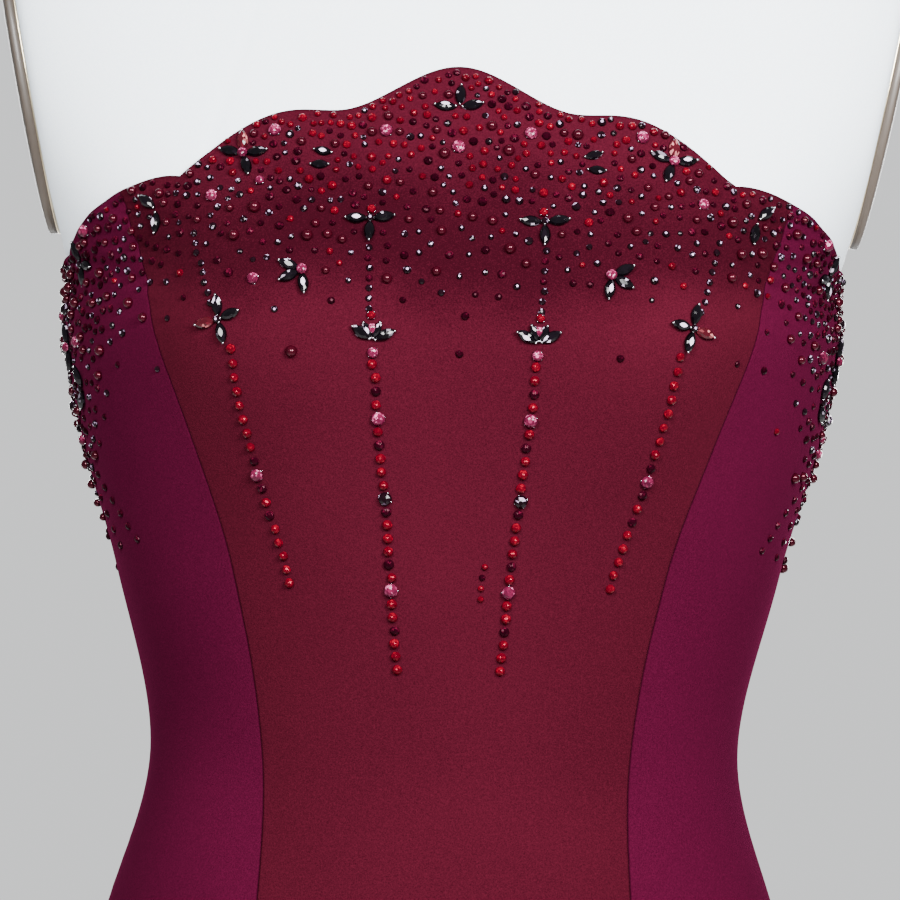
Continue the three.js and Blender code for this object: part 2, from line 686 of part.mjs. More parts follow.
// A string of stones down the cloth: rings that swell at each stone and narrow between them.
function stoneString({ name, path, stones }, panels, side) {
  const rings = [];
  for (let i = 0; i <= 2 * stones; i += 1) {
    const height = THREE.MathUtils.lerp(path[0].height, path.at(-1).height, i / (2 * stones));
    const degrees = side * smooth(path, 'height', 'angle', height);
    const wide = i % 2 === 1;
    const half = wide ? STONE.radius : STONE.waist;
    const tall = wide ? STONE.height : STONE.waist;
    const normal = figureNormal(degrees, height);
    const foot = liftedPoint(degrees, height, EASE + WALL);
    foot.addScaledVector(normal, clothRise(panels, foot, normal) + LIFT);
    const across = new THREE.Vector3(0, 0, 1).cross(normal).normalize();
    const ring = Array.from({ length: STONE.sides }, (_, k) => {
      const turn = (Math.PI * k) / (STONE.sides - 1);
      return foot.clone()
        .addScaledVector(across, -half * Math.cos(turn))
        .addScaledVector(normal, tall * Math.sin(turn));
    });
    rings.push(ring);
  }
  const sideName = side > 0 ? 'left' : 'right';
  return meshOf(`stone_string_${name}_${sideName}`, ringsGeometry(rings), PAINT.stone);
}

const panels = gownPanels();
const gown = new THREE.Group();
gown.add(
  ...panels,
  zipChain(),
  zipSlider(),
  zipPull(),
  ...stoneFlowers(panels),
  ...STRINGS.flatMap((string) => [1, -1].map((side) => stoneString(string, panels, side))),
  formTorso(),
  formBoard(),
  armholePlate('armhole_plate_left', 1),
  armholePlate('armhole_plate_right', -1),
  neckCap(),
  ...stand(),
);

export default gown;
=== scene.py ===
"""Looks for a strapless gown on its dress form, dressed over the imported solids."""

import logging
import math
from dataclasses import dataclass, field
from enum import Enum

import bpy
import numpy as np
from mathutils import Matrix


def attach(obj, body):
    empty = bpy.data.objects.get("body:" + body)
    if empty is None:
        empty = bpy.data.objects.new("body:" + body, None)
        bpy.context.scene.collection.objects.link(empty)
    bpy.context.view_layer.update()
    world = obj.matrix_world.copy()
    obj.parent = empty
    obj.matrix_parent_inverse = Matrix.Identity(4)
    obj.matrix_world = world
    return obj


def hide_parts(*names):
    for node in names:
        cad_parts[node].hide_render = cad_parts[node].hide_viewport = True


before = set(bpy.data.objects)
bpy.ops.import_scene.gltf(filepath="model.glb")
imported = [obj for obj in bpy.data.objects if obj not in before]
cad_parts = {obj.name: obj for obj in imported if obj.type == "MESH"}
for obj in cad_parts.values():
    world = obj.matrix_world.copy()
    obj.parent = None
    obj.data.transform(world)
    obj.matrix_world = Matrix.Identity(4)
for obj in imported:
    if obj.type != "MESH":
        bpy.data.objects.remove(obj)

log = logging.getLogger("gown")

MM = 0.001  # all the pattern's sizes are in millimetres
STATIC_BODY = "gown_form_and_stand"
TURNED_SIDES = 96  # round the stand, the neck cap and the armhole plates
GAP = 0.3  # between two fixed parts, in mm

Array = np.ndarray
Finish = bpy.types.Material
Generator = np.random.Generator
Node = bpy.types.Node
Piece = bpy.types.Object
Socket = bpy.types.NodeSocket
Tree = bpy.types.NodeTree
Colour = tuple[float, float, float]


class Side(Enum):
    """The wearer's left (+X) or right (-X)."""

    LEFT = 1
    RIGHT = -1


class Table:
    """A short size table with named columns, read as a smooth curve."""

    def __init__(self, names: tuple[str, ...], *rows: tuple[float, ...]) -> None:
        """Keeps the rows as columns.

        Args:
            names: the columns' names; the first is what the table is read by.
            rows: one tuple of numbers per row, in order of the first column.
        """
        self.columns = dict(zip(names, np.array(rows, float).T))
        self.keys = self.columns[names[0]]

    def smooth(self, column: str, at: Array) -> Array:
        """Reads a column between its rows.

        Each stretch is the cubic that meets both rows with their own slopes, where a row's slope
        is the rise between its two neighbours.

        Args:
            column: the column to read.
            at: where to read it, held inside the table's ends.

        Returns:
            The column's value at each place.
        """
        values, last = self.columns[column], len(self.keys) - 1
        row = np.arange(last + 1)
        low, high = np.maximum(row - 1, 0), np.minimum(row + 1, last)
        slopes = (values[high] - values[low]) / (self.keys[high] - self.keys[low])
        i = np.clip(np.searchsorted(self.keys, at, side="left") - 1, 0, last - 1)
        step = self.keys[i + 1] - self.keys[i]
        t = np.clip((at - self.keys[i]) / step, 0, 1)
        rise = t * t * (3 - 2 * t)
        leave = t * (1 - t) ** 2 * step * slopes[i]
        arrive = t * t * (t - 1) * step * slopes[i + 1]
        return values[i] * (1 - rise) + values[i + 1] * rise + leave + arrive


def smoothstep(low: float, high: float, x: Array) -> Array:
    """Rises smoothly from 0 at low to 1 at high."""
    t = np.clip((x - low) / (high - low), 0, 1)
    return t * t * (3 - 2 * t)


def bell(x: Array, width: float) -> Array:
    """A bell curve: 1 at 0, falling away over the width."""
    return np.exp(-((x / width) ** 2))


def unit(vectors: Array) -> Array:
    """Vectors of length 1 along the last axis."""
    return vectors / np.linalg.norm(vectors, axis=-1, keepdims=True)


@dataclass(frozen=True)
class Figure:
    """The dressed figure: level sections that are polar superellipses, with cups and flutes."""

    sections: Table = Table(
        ("height", "side", "front", "back", "square"),
        (12, 300, 276, 306, 2.0), (100, 268, 246, 270, 2.0), (200, 236, 214, 232, 2.0),
        (300, 206, 182, 196, 2.02), (400, 179, 153, 164, 2.04), (500, 160, 131, 140, 2.06),
        (600, 153, 119, 127, 2.1), (700, 156, 114, 122, 2.15), (800, 164, 112, 126, 2.2),
        (860, 169, 112, 132, 2.2), (905, 170, 112, 133, 2.2), (940, 166, 111, 130, 2.2),
        (980, 156, 109, 121, 2.15), (1035, 136.5, 102, 106, 2.1), (1100, 120.5, 93, 90, 2.1),
        (1174, 137, 104, 97, 2.2), (1228, 152, 117, 105, 2.3), (1270, 159.5, 123, 111, 2.4),
        (1294, 159.5, 120.4, 113, 2.43), (1312, 167.5, 116.4, 114, 2.45),
        (1345, 184, 106, 115, 2.45), (1380, 198, 92, 114, 2.4), (1413, 205, 80, 110, 2.4),
        (1440, 204, 71, 103, 2.35), (1462, 190, 64, 94, 2.3), (1475, 158, 60, 87, 2.25),
        (1488, 126, 57, 80, 2.2), (1501, 96, 54, 72, 2.1), (1514, 74, 52, 65, 2.05),
        (1530, 63, 50, 60, 2.0), (1566, 57, 50, 57, 2.0),
    )
    flutes: Table = Table(
        ("angle", "width", "depth", "start"),
        (-149, 13, 35, 630), (-122, 13, 31, 560), (-93, 15, 36, 650), (-63, 14, 25, 500),
        (-34, 14, 37, 650), (-4, 15, 26, 560), (29, 14, 36, 640), (58, 13, 27, 520),
        (88, 15, 38, 660), (118, 13, 29, 540), (145, 14, 37, 640), (173, 13, 30, 560),
    )
    flute_growth: float = 1.6
    hem: float = 12
    cup_angle: float = 36
    cup_height: float = 1272
    cup_depth: float = 13
    cup_spread: float = 17
    cup_rise: float = 48
    armhole_height: float = 1308
    armhole_offset: float = 164.4
    armhole_slope: float = 0.195
    armhole_softness: float = 3

    def flute(self, degrees: Array, height: Array) -> Array:
        """How far the flutes push the skirt out: squared sines across, growing to the hem.

        Args:
            degrees: angles from the centre front.
            height: heights in mm.

        Returns:
            Depths in mm.
        """
        f = self.flutes.columns
        turn = (np.asarray(degrees)[..., None] - f["angle"] + 540) % 360 - 180
        near = np.maximum(0, 1 - np.abs(turn) / f["width"])
        above = f["start"] - np.asarray(height)[..., None]
        fall = np.clip(above / (f["start"] - self.hem), 0, 1)
        each = f["depth"] * np.sin(np.pi / 2 * near) ** 2 * fall**self.flute_growth
        return each.sum(-1)

    def points(self, degrees: Array, height: Array) -> Array:
        """The figure's surface.

        The radius is ((|sin|/side)^n + (|cos|/depth)^n)^(-1/n), plus the cup's bell and the
        flutes; then x is held inside the armholes' leaning flats, rounded where they meet.

        Args:
            degrees: angles from the centre front, towards the wearer's left.
            height: heights in mm.

        Returns:
            Points in mm, with x, y, z along the last axis.
        """
        degrees, height = (np.asarray(a, float) for a in (degrees, height))
        degrees, height = np.broadcast_arrays(degrees, height)
        turn = np.radians(degrees)
        side, power = self.sections.smooth("side", height), self.sections.smooth("square", height)
        front, back = self.sections.smooth("front", height), self.sections.smooth("back", height)
        depth = np.where(np.cos(turn) > 0, front, back)
        across = np.abs(np.sin(turn) / side) ** power
        along = np.abs(np.cos(turn) / depth) ** power
        radius = (across + along) ** (-1 / power) + self.flute(degrees, height)
        lobe = bell(np.abs(degrees) - self.cup_angle, self.cup_spread)
        radius = radius + self.cup_depth * lobe * bell(height - self.cup_height, self.cup_rise)
        x = radius * np.sin(turn)
        above = height - self.armhole_height
        flat = self.armhole_offset + np.where(above > 0, self.armhole_slope * above, -0.5 * above)
        apart = np.hypot(np.abs(x) - flat, self.armhole_softness)
        cut = (np.abs(x) + flat - apart) / 2
        x = np.sign(x) * np.minimum(np.abs(x), cut)
        return np.stack([x, -radius * np.cos(turn), height], -1)

    def normals(self, degrees: Array, height: Array) -> Array:
        """The outward normal: the cross product of a small step round and a small step up.

        Args:
            degrees: angles from the centre front.
            height: heights in mm.

        Returns:
            Vectors of length 1.
        """
        degrees, height = np.asarray(degrees, float), np.asarray(height, float)
        turn = self.points(degrees + 0.5, height) - self.points(degrees - 0.5, height)
        rise = self.points(degrees, height + 1) - self.points(degrees, height - 1)
        return unit(np.cross(turn, rise))


@dataclass(frozen=True)
class Seam:
    """A seam's run down the gown: its angle from the centre front at each height."""

    run: Table
    side: Side
    parted: bool = False  # held apart by the zip above its foot

    def angle(self, height: Array) -> Array:
        """The seam's angle at each height."""
        return self.side.value * self.run.smooth("angle", height)


FRONT_RUN = Table(
    ("height", "angle"),
    (12, 33), (800, 36), (950, 38), (1042, 41), (1100, 44.2), (1150, 45), (1200, 46.2),
    (1245, 47.6), (1272, 50), (1288, 52.2), (1311, 56), (1330, 58.8),
)
SIDE_RUN = Table(("height", "angle"), (12, 92), (1330, 92))
BACK_RUN = Table(
    ("height", "angle"), (12, 147), (800, 145), (950, 143), (1100, 140), (1200, 136), (1300, 129)
)
ZIP_RUN = Table(("height", "angle"), (12, 180), (1330, 180))


@dataclass(frozen=True)
class Panel:
    """One cut piece of the gown, between two seams."""

    node: str
    start: Seam
    end: Seam
    columns: int
    sides_cloth: bool


def gown_panels() -> tuple[Panel, ...]:
    """The gown's seven panels, in order round the figure from the centre front."""
    left, right = Side.LEFT, Side.RIGHT
    front_l, front_r = Seam(FRONT_RUN, left), Seam(FRONT_RUN, right)
    side_l, side_r = Seam(SIDE_RUN, left), Seam(SIDE_RUN, right)
    back_l, back_r = Seam(BACK_RUN, left), Seam(BACK_RUN, right)
    zip_l, zip_r = Seam(ZIP_RUN, left, parted=True), Seam(ZIP_RUN, right, parted=True)
    return (
        Panel("front_centre_panel", front_r, front_l, 92, False),
        Panel("front_side_panel_left", front_l, side_l, 46, True),
        Panel("back_side_panel_left", side_l, back_l, 44, True),
        Panel("back_centre_panel_left", back_l, zip_l, 34, False),
        Panel("back_centre_panel_right", zip_r, back_r, 34, False),
        Panel("back_side_panel_right", back_r, side_r, 44, True),
        Panel("front_side_panel_right", side_r, front_r, 46, True),
    )


@dataclass(frozen=True)
class Neckline:
    """The scalloped top edge, even on both sides of the centre front."""

    stretches: Table = Table(
        ("angle", "height", "scallop", "peak"),
        (-22, 1360.5, 17, 0.5), (22, 1360.5, 12.8, 0.587), (49.3, 1331, 5.2, 0.315),
        (75, 1302, 0, 0.5), (110, 1294, 0, 0.5), (145, 1289, 0, 0.5), (180, 1287, 0, 0.5),
    )
    sharpness: float = 1.2

    def height(self, degrees: Array) -> Array:
        """The edge's height: a straight line between stretches, plus each one's skewed sine.

        Args:
            degrees: angles from the centre front.

        Returns:
            Heights in mm.
        """
        keys, c = self.stretches.keys, self.stretches.columns
        at = np.abs(degrees)
        i = np.clip(np.searchsorted(keys, at, side="left") - 1, 0, len(keys) - 2)
        t = np.clip((at - keys[i]) / (keys[i + 1] - keys[i]), 0, 1)
        skew = np.log(0.5) / np.log(c["peak"][i])
        bulge = np.clip(np.sin(np.pi * t**skew), 0, 1) ** self.sharpness
        return c["height"][i] * (1 - t) + c["height"][i + 1] * t + c["scallop"][i] * bulge


def grid_faces(rows: int, columns: int, wrap: bool = False, loop: bool = False) -> Array:
    """Quads of a grid whose points run row by row.

    Args:
        rows: how many rows of points.
        columns: how many points in a row.
        wrap: whether the last column joins the first.
        loop: whether the last row joins the first.

    Returns:
        Four point numbers per quad, anticlockwise where columns run right and rows run up.
    """
    r = np.arange(rows if loop else rows - 1)[:, None]
    c = np.arange(columns if wrap else columns - 1)[None, :]
    up, after = (r + 1) % rows, (c + 1) % columns
    corners = (r * columns + c, r * columns + after, up * columns + after)
    return np.stack([*corners, up * columns + c], -1).reshape(-1, 4)


def capped(rings: Array, foot: Array, head: Array) -> tuple:
    """Closes a stack of rings: quads between them, and a fan of triangles to a point at each end.

    Args:
        rings: points by ring and column, from the bottom up, anticlockwise from above.
        foot: the point that closes the lowest ring.
        head: the point that closes the highest ring.

    Returns:
        Points, face corners and face sizes.
    """
    rows, columns = rings.shape[:2]
    quads = grid_faces(rows, columns, wrap=True)
    ring = np.arange(columns)
    after, top, count = np.roll(ring, -1), (rows - 1) * columns, rows * columns
    low = np.stack([np.full(columns, count), after, ring], -1)
    high = np.stack([np.full(columns, count + 1), top + ring, top + after], -1)
    points = np.concatenate([rings.reshape(-1, 3), [foot, head]])
    corners = np.concatenate([quads.ravel(), low.ravel(), high.ravel()])
    return points, corners, np.repeat([4, 3], [len(quads), 2 * columns])


def make_piece(name: str, points: Array, faces: Array, finish: Finish) -> Piece:
    """Puts points and faces of one size into a new smooth object.

    Args:
        name: the piece's name.
        points: its points in mm.
        faces: point numbers, one row per face.
        finish: its material.

    Returns:
        The object, linked to the scene.
    """
    sizes = np.full(len(faces), faces.shape[1])
    return make_mixed_piece(name, points, faces.reshape(-1), sizes, finish)


def make_mixed_piece(
    name: str, points: Array, corners: Array, sizes: Array, finish: Finish, smooth: bool = True
) -> Piece:
    """Puts points and faces of any sizes into a new object.

    Args:
        name: the piece's name.
        points: its points in mm.
        corners: all the faces' point numbers, one face after another.
        sizes: how many corners each face has.
        finish: its material.
        smooth: whether it is shaded smooth.

    Returns:
        The object, linked to the scene.
    """
    points = points.reshape(-1, 3) * MM
    mesh = bpy.data.meshes.new(name)
    mesh.vertices.add(len(points))
    mesh.vertices.foreach_set("co", points.astype(np.float32).ravel())
    mesh.loops.add(len(corners))
    mesh.loops.foreach_set("vertex_index", corners.astype(np.int32))
    mesh.polygons.add(len(sizes))
    starts = np.concatenate([[0], np.cumsum(sizes)[:-1]])
    mesh.polygons.foreach_set("loop_start", starts.astype(np.int32))
    mesh.polygons.foreach_set("loop_total", sizes.astype(np.int32))
    mesh.polygons.foreach_set("use_smooth", np.full(len(sizes), smooth))
    mesh.update(calc_edges=True)
    mesh.validate()
    mesh.materials.append(finish)
    piece = bpy.data.objects.new(name, mesh)
    bpy.context.scene.collection.objects.link(piece)
    return piece


def paint(piece: Piece, name: str, values: Array, each: str = "FACE") -> None:
    """Gives each face or point of a piece a number that its material reads.

    Args:
        piece: the piece.
        name: the attribute's name.
        values: one number per face or point.
        each: FACE or POINT.
    """
    layer = piece.data.attributes.new(name, "FLOAT", each)
    layer.data.foreach_set("value", values.astype(np.float32).ravel())


def settle(piece: Piece, slot: str, *nodes: str) -> None:
    """Lets a piece ride on the fixed body, and hides the solids it stands for.

    Args:
        piece: the piece.
        slot: not used.
        nodes: the solids that it replaces, if any.
    """
    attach(piece, STATIC_BODY)
    if nodes:
        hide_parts(*nodes)
    log.info("%s: %d faces", piece.name, len(piece.data.polygons))


def give_finish(node: str, finish: Finish) -> None:
    """Gives a solid that is seen as it is its material."""
    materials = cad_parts[node].data.materials
    materials.clear()
    materials.append(finish)


def new_group(name: str, inputs: dict[str, float], outputs: dict[str, str]) -> Tree:
    """Starts a shader node group with named sockets.

    Args:
        name: the group's name.
        inputs: its float inputs and their values.
        outputs: its outputs' names and socket types.

    Returns:
        The group, with its input and output nodes.
    """
    group = bpy.data.node_groups.new(name, "ShaderNodeTree")
    for label, value in inputs.items():
        socket = group.interface.new_socket(label, in_out="INPUT", socket_type="NodeSocketFloat")
        socket.default_value = value
    for label, kind in outputs.items():
        group.interface.new_socket(label, in_out="OUTPUT", socket_type=kind)
    group.nodes.new("NodeGroupInput").name = "in"
    group.nodes.new("NodeGroupOutput").name = "out"
    return group


class Wiring:
    """Short ways to add and join the nodes of one material or group."""

    def __init__(self, tree: Tree) -> None:
        """Works on one node tree."""
        self.tree = tree

    def put(self, value: object, target: Socket) -> None:
        """Joins an output to an input, or sets the input to a plain value.

        Args:
            value: the output or the value.
            target: the input.
        """
        if isinstance(value, Socket):
            self.tree.links.new(value, target)
        else:
            target.default_value = value

    def fill(self, node: Node, inputs: dict[str, object]) -> None:
        """Fills a node's named inputs."""
        for label, value in inputs.items():
            self.put(value, node.inputs[label])

    def node(self, kind: str, inputs: dict[str, object] | None = None, **settings: object) -> Node:
        """Adds a node.

        Args:
            kind: the node's type.
            inputs: an output or a plain value for each named input.
            settings: the node's properties, which are set first.

        Returns:
            The node.
        """
        node = self.tree.nodes.new(kind)
        for key, value in settings.items():
            setattr(node, key, value)
        self.fill(node, inputs or {})
        return node

    def noise(self, vector: Socket, scale: object, detail: float) -> Socket:
        """Adds a noise texture on a vector."""
        inputs = {"Vector": vector, "Scale": scale, "Detail": detail}
        return self.node("ShaderNodeTexNoise", inputs).outputs["Fac"]

    def math(self, operation: str, *values: object) -> Socket:
        """Adds a math node.

        Args:
            operation: what it works out.
            values: a number or an output for each of its inputs, in order.

        Returns:
            Its output.
        """
        node = self.node("ShaderNodeMath", operation=operation)
        for socket, value in zip(node.inputs, values):
            self.put(value, socket)
        return node.outputs[0]

    def blend(self, share: Socket, low: object, high: Colour) -> Socket:
        """Adds a mix of two colours by a share; the first may be a socket."""
        first = low if isinstance(low, Socket) else (*low, 1)
        inputs = {"A": first, "B": (*high, 1), "Factor": share}
        return self.node("ShaderNodeMix", inputs, data_type="RGBA").outputs["Result"]

    def bump(self, height: Socket, strength: float, depth: float) -> Socket:
        """Adds a bump of a depth in metres, and gives its normal."""
        inputs = {"Strength": strength, "Distance": depth, "Height": height}
        return self.node("ShaderNodeBump", inputs).outputs["Normal"]

    def show_camera(self, shader: Socket, seen: Socket, surface: Socket) -> None:
        """Shows one shader to the camera and another to all other rays.

        Args:
            shader: what all other rays meet.
            seen: what the camera sees.
            surface: the material's or the world's input that takes the mix.
        """
        mix = self.node("ShaderNodeMixShader")
        camera_ray = self.node("ShaderNodeLightPath").outputs["Is Camera Ray"]
        for value, target in zip((camera_ray, shader, seen), mix.inputs):
            self.put(value, target)
        self.put(mix.outputs[0], surface)


def new_finish(name: str) -> tuple[Finish, Wiring, Node]:
    """Starts a material.

    Args:
        name: the material's name.

    Returns:
        The material, its wiring and its Principled BSDF.
    """
    material = bpy.data.materials.new(name)
    material.use_nodes = True
    return material, Wiring(material.node_tree), material.node_tree.nodes["Principled BSDF"]


def object_place(wiring: Wiring) -> Socket:
    """The point's place in the object's own metres."""
    return wiring.node("ShaderNodeTexCoord").outputs["Object"]


def cloth_grain() -> Tree:
    """The shared grain of a fine cloth: pebbly threads, with a broad uneven cast over them."""
    group = new_group(
        "cloth grain",
        {"Fineness": 2200.0, "Cast": 9.0},
        {"Grain": "NodeSocketFloat", "Tone": "NodeSocketFloat"},
    )
    w = Wiring(group)
    source = group.nodes["in"].outputs
    place = object_place(w)
    threads = w.noise(place, source["Fineness"], 3)
    pebble_scale = w.math("MULTIPLY", source["Fineness"], 0.7)
    pebbles = w.node("ShaderNodeTexVoronoi", {"Vector": place, "Scale": pebble_scale},
                     feature="SMOOTH_F1")
    cast = w.noise(place, source["Cast"], 2)
    grain = w.math("ADD", threads, w.math("MULTIPLY", pebbles.outputs["Distance"], 0.4))
    tone = w.math("ADD", w.math("MULTIPLY", grain, 0.75), w.math("MULTIPLY", cast, 0.25))
    w.fill(group.nodes["out"], {"Grain": grain, "Tone": tone})
    return group


@dataclass(frozen=True)
class ClothFinish:
    """A fine matt cloth: two close tones through its grain, a soft sheen at its edges, and where
    given painted shade in a band across the bust and in its folds.
    """

    name: str
    deep: Colour
    light: Colour
    sheen: float
    sheen_tint: Colour
    roughness: float
    fineness: float
    relief: float
    # painted shade: how much darker a band across the bust is, and the heights of its edges
    band_shade: float = 0.0
    band_shade_heights: tuple[float, float, float, float] = (1.27, 1.304, 1.31, 1.35)
    specular: float = 0.0
    contrast: float = 2.2
    contrast_shift: float = -0.75
    waver: float = 0.05
    crease_shade: float = 0.3
    thread_depth: float = 0.00025
    sheen_roughness: float = 0.45

    def band_shade_mask(self, w: Wiring) -> Socket:
        """1 in the band of painted shade across the bust and 0 outside it, with wavering level
        edges.

        Args:
            w: the material's wiring.

        Returns:
            The mask.
        """
        place = object_place(w)
        height = w.node("ShaderNodeSeparateXYZ", {"Vector": place}).outputs["Z"]
        level = w.math("MULTIPLY_ADD", w.noise(place, 20, 3), self.waver, height)
        level = w.math("SUBTRACT", level, self.waver / 2)
        edges = [
            w.node("ShaderNodeMapRange", {"Value": level, "From Min": low, "From Max": high},
                   interpolation_type="SMOOTHSTEP").outputs["Result"]
            for low, high in (self.band_shade_heights[:2], self.band_shade_heights[2:])
        ]
        return w.math("SUBTRACT", *edges)

    def build(self, grain: Tree) -> Finish:
        """Makes the material.

        Where the stitches of the lower stones pull the cloth it takes the light less, so a soft
        A soft band across the bust is painted darker: painted shade where the stitches of the lower
        stones pull the cloth. The painted shade of the folds, 1 in a seam's fold and at a rolled
        edge, darkens the cloth there.

        Args:
            grain: the shared cloth grain.

        Returns:
            The material.
        """
        material, w, shader = new_finish(self.name)
        weave = w.node("ShaderNodeGroup", {"Fineness": self.fineness}, node_tree=grain)
        tone = w.math("MULTIPLY_ADD", weave.outputs["Tone"], self.contrast, self.contrast_shift)
        # painted shade: the band across the bust is darkened in the colour
        if self.band_shade:
            tone = w.math("SUBTRACT", tone, w.math("MULTIPLY", self.band_shade_mask(w), self.band_shade))
        share = w.node("ShaderNodeClamp", {"Value": tone}).outputs[0]
        # painted shade in the seams' folds and at the rolled edges
        fold_shade = w.node("ShaderNodeAttribute", attribute_name="fold_shade").outputs["Fac"]
        shade = tuple(self.crease_shade * c for c in self.deep)
        tint = (*self.sheen_tint, 1)
        w.fill(shader, {
            "Base Color": w.blend(fold_shade, w.blend(share, self.deep, self.light), shade),
            "Normal": w.bump(weave.outputs["Grain"], self.relief, self.thread_depth),
            "Roughness": self.roughness,
            "Specular IOR Level": self.specular,
            "Specular Tint": tint,
            "Sheen Weight": self.sheen,
            "Sheen Roughness": self.sheen_roughness,
            "Sheen Tint": tint,
        })
        return material


@dataclass(frozen=True)
class StoneFinish:
    """A faceted foiled stone: each facet's tone, which holds painted glints and painted light,
    picks its colour from deep to bright.
    """

    name: str
    deep: Colour
    middle: Colour
    bright: Colour
    roughness: float = 0.06
    metallic: float = 0.0
    specular: float = 0.4
    glint: Colour = (1.0, 1.0, 1.0)
    middle_tone: float = 0.6
    bright_tone: float = 0.97

    def build(self) -> Finish:
        """Makes the material: the faces' painted tone, glints and light included, picks the colour
        along a ramp.
        """
        material, w, shader = new_finish(self.name)
        tone = w.node("ShaderNodeAttribute", attribute_name="tone").outputs["Fac"]
        ramp = w.node("ShaderNodeValToRGB", {"Fac": tone})
        stops = ramp.color_ramp.elements
        stops[0].color = (*self.deep, 1)
        stops[1].color = (*self.bright, 1)
        stops[1].position = self.bright_tone
        stops.new(self.middle_tone).color = (*self.middle, 1)
        flecks = w.noise(object_place(w), 1500, 2)
        w.fill(shader, {
            "Base Color": ramp.outputs["Color"],
            "Roughness": w.math("MULTIPLY_ADD", flecks, 0.06, self.roughness - 0.03),
            "Metallic": self.metallic,
            "Specular IOR Level": self.specular,
            "Specular Tint": (*self.glint, 1),
        })
        return material


@dataclass(frozen=True)
class HardFinish:
    """A plain hard surface with faint wear: paint, enamel, metal or varnished wood."""

    name: str
    deep: Colour
    light: Colour
    roughness: float
    metallic: float = 0.0
    coat: float = 0.0
    grain_scale: tuple[float, float, float] = (60, 60, 60)
    relief: float = 0.05
    wear_depth: float = 0.0005

    def build(self) -> Finish:
        """Makes the material: noise stretched along the grain mixes two tones and the gloss."""
        material, w, shader = new_finish(self.name)
        mapping = w.node(
            "ShaderNodeMapping", {"Scale": self.grain_scale, "Vector": object_place(w)}
        )
        marks = w.noise(mapping.outputs["Vector"], 1, 6)
        w.fill(shader, {
            "Base Color": w.blend(marks, self.deep, self.light),
            "Roughness": w.math("MULTIPLY_ADD", marks, 0.16, self.roughness - 0.08),
            "Normal": w.bump(marks, self.relief, self.wear_depth),
            "Metallic": self.metallic,
            "Coat Weight": self.coat,
        })
        return material


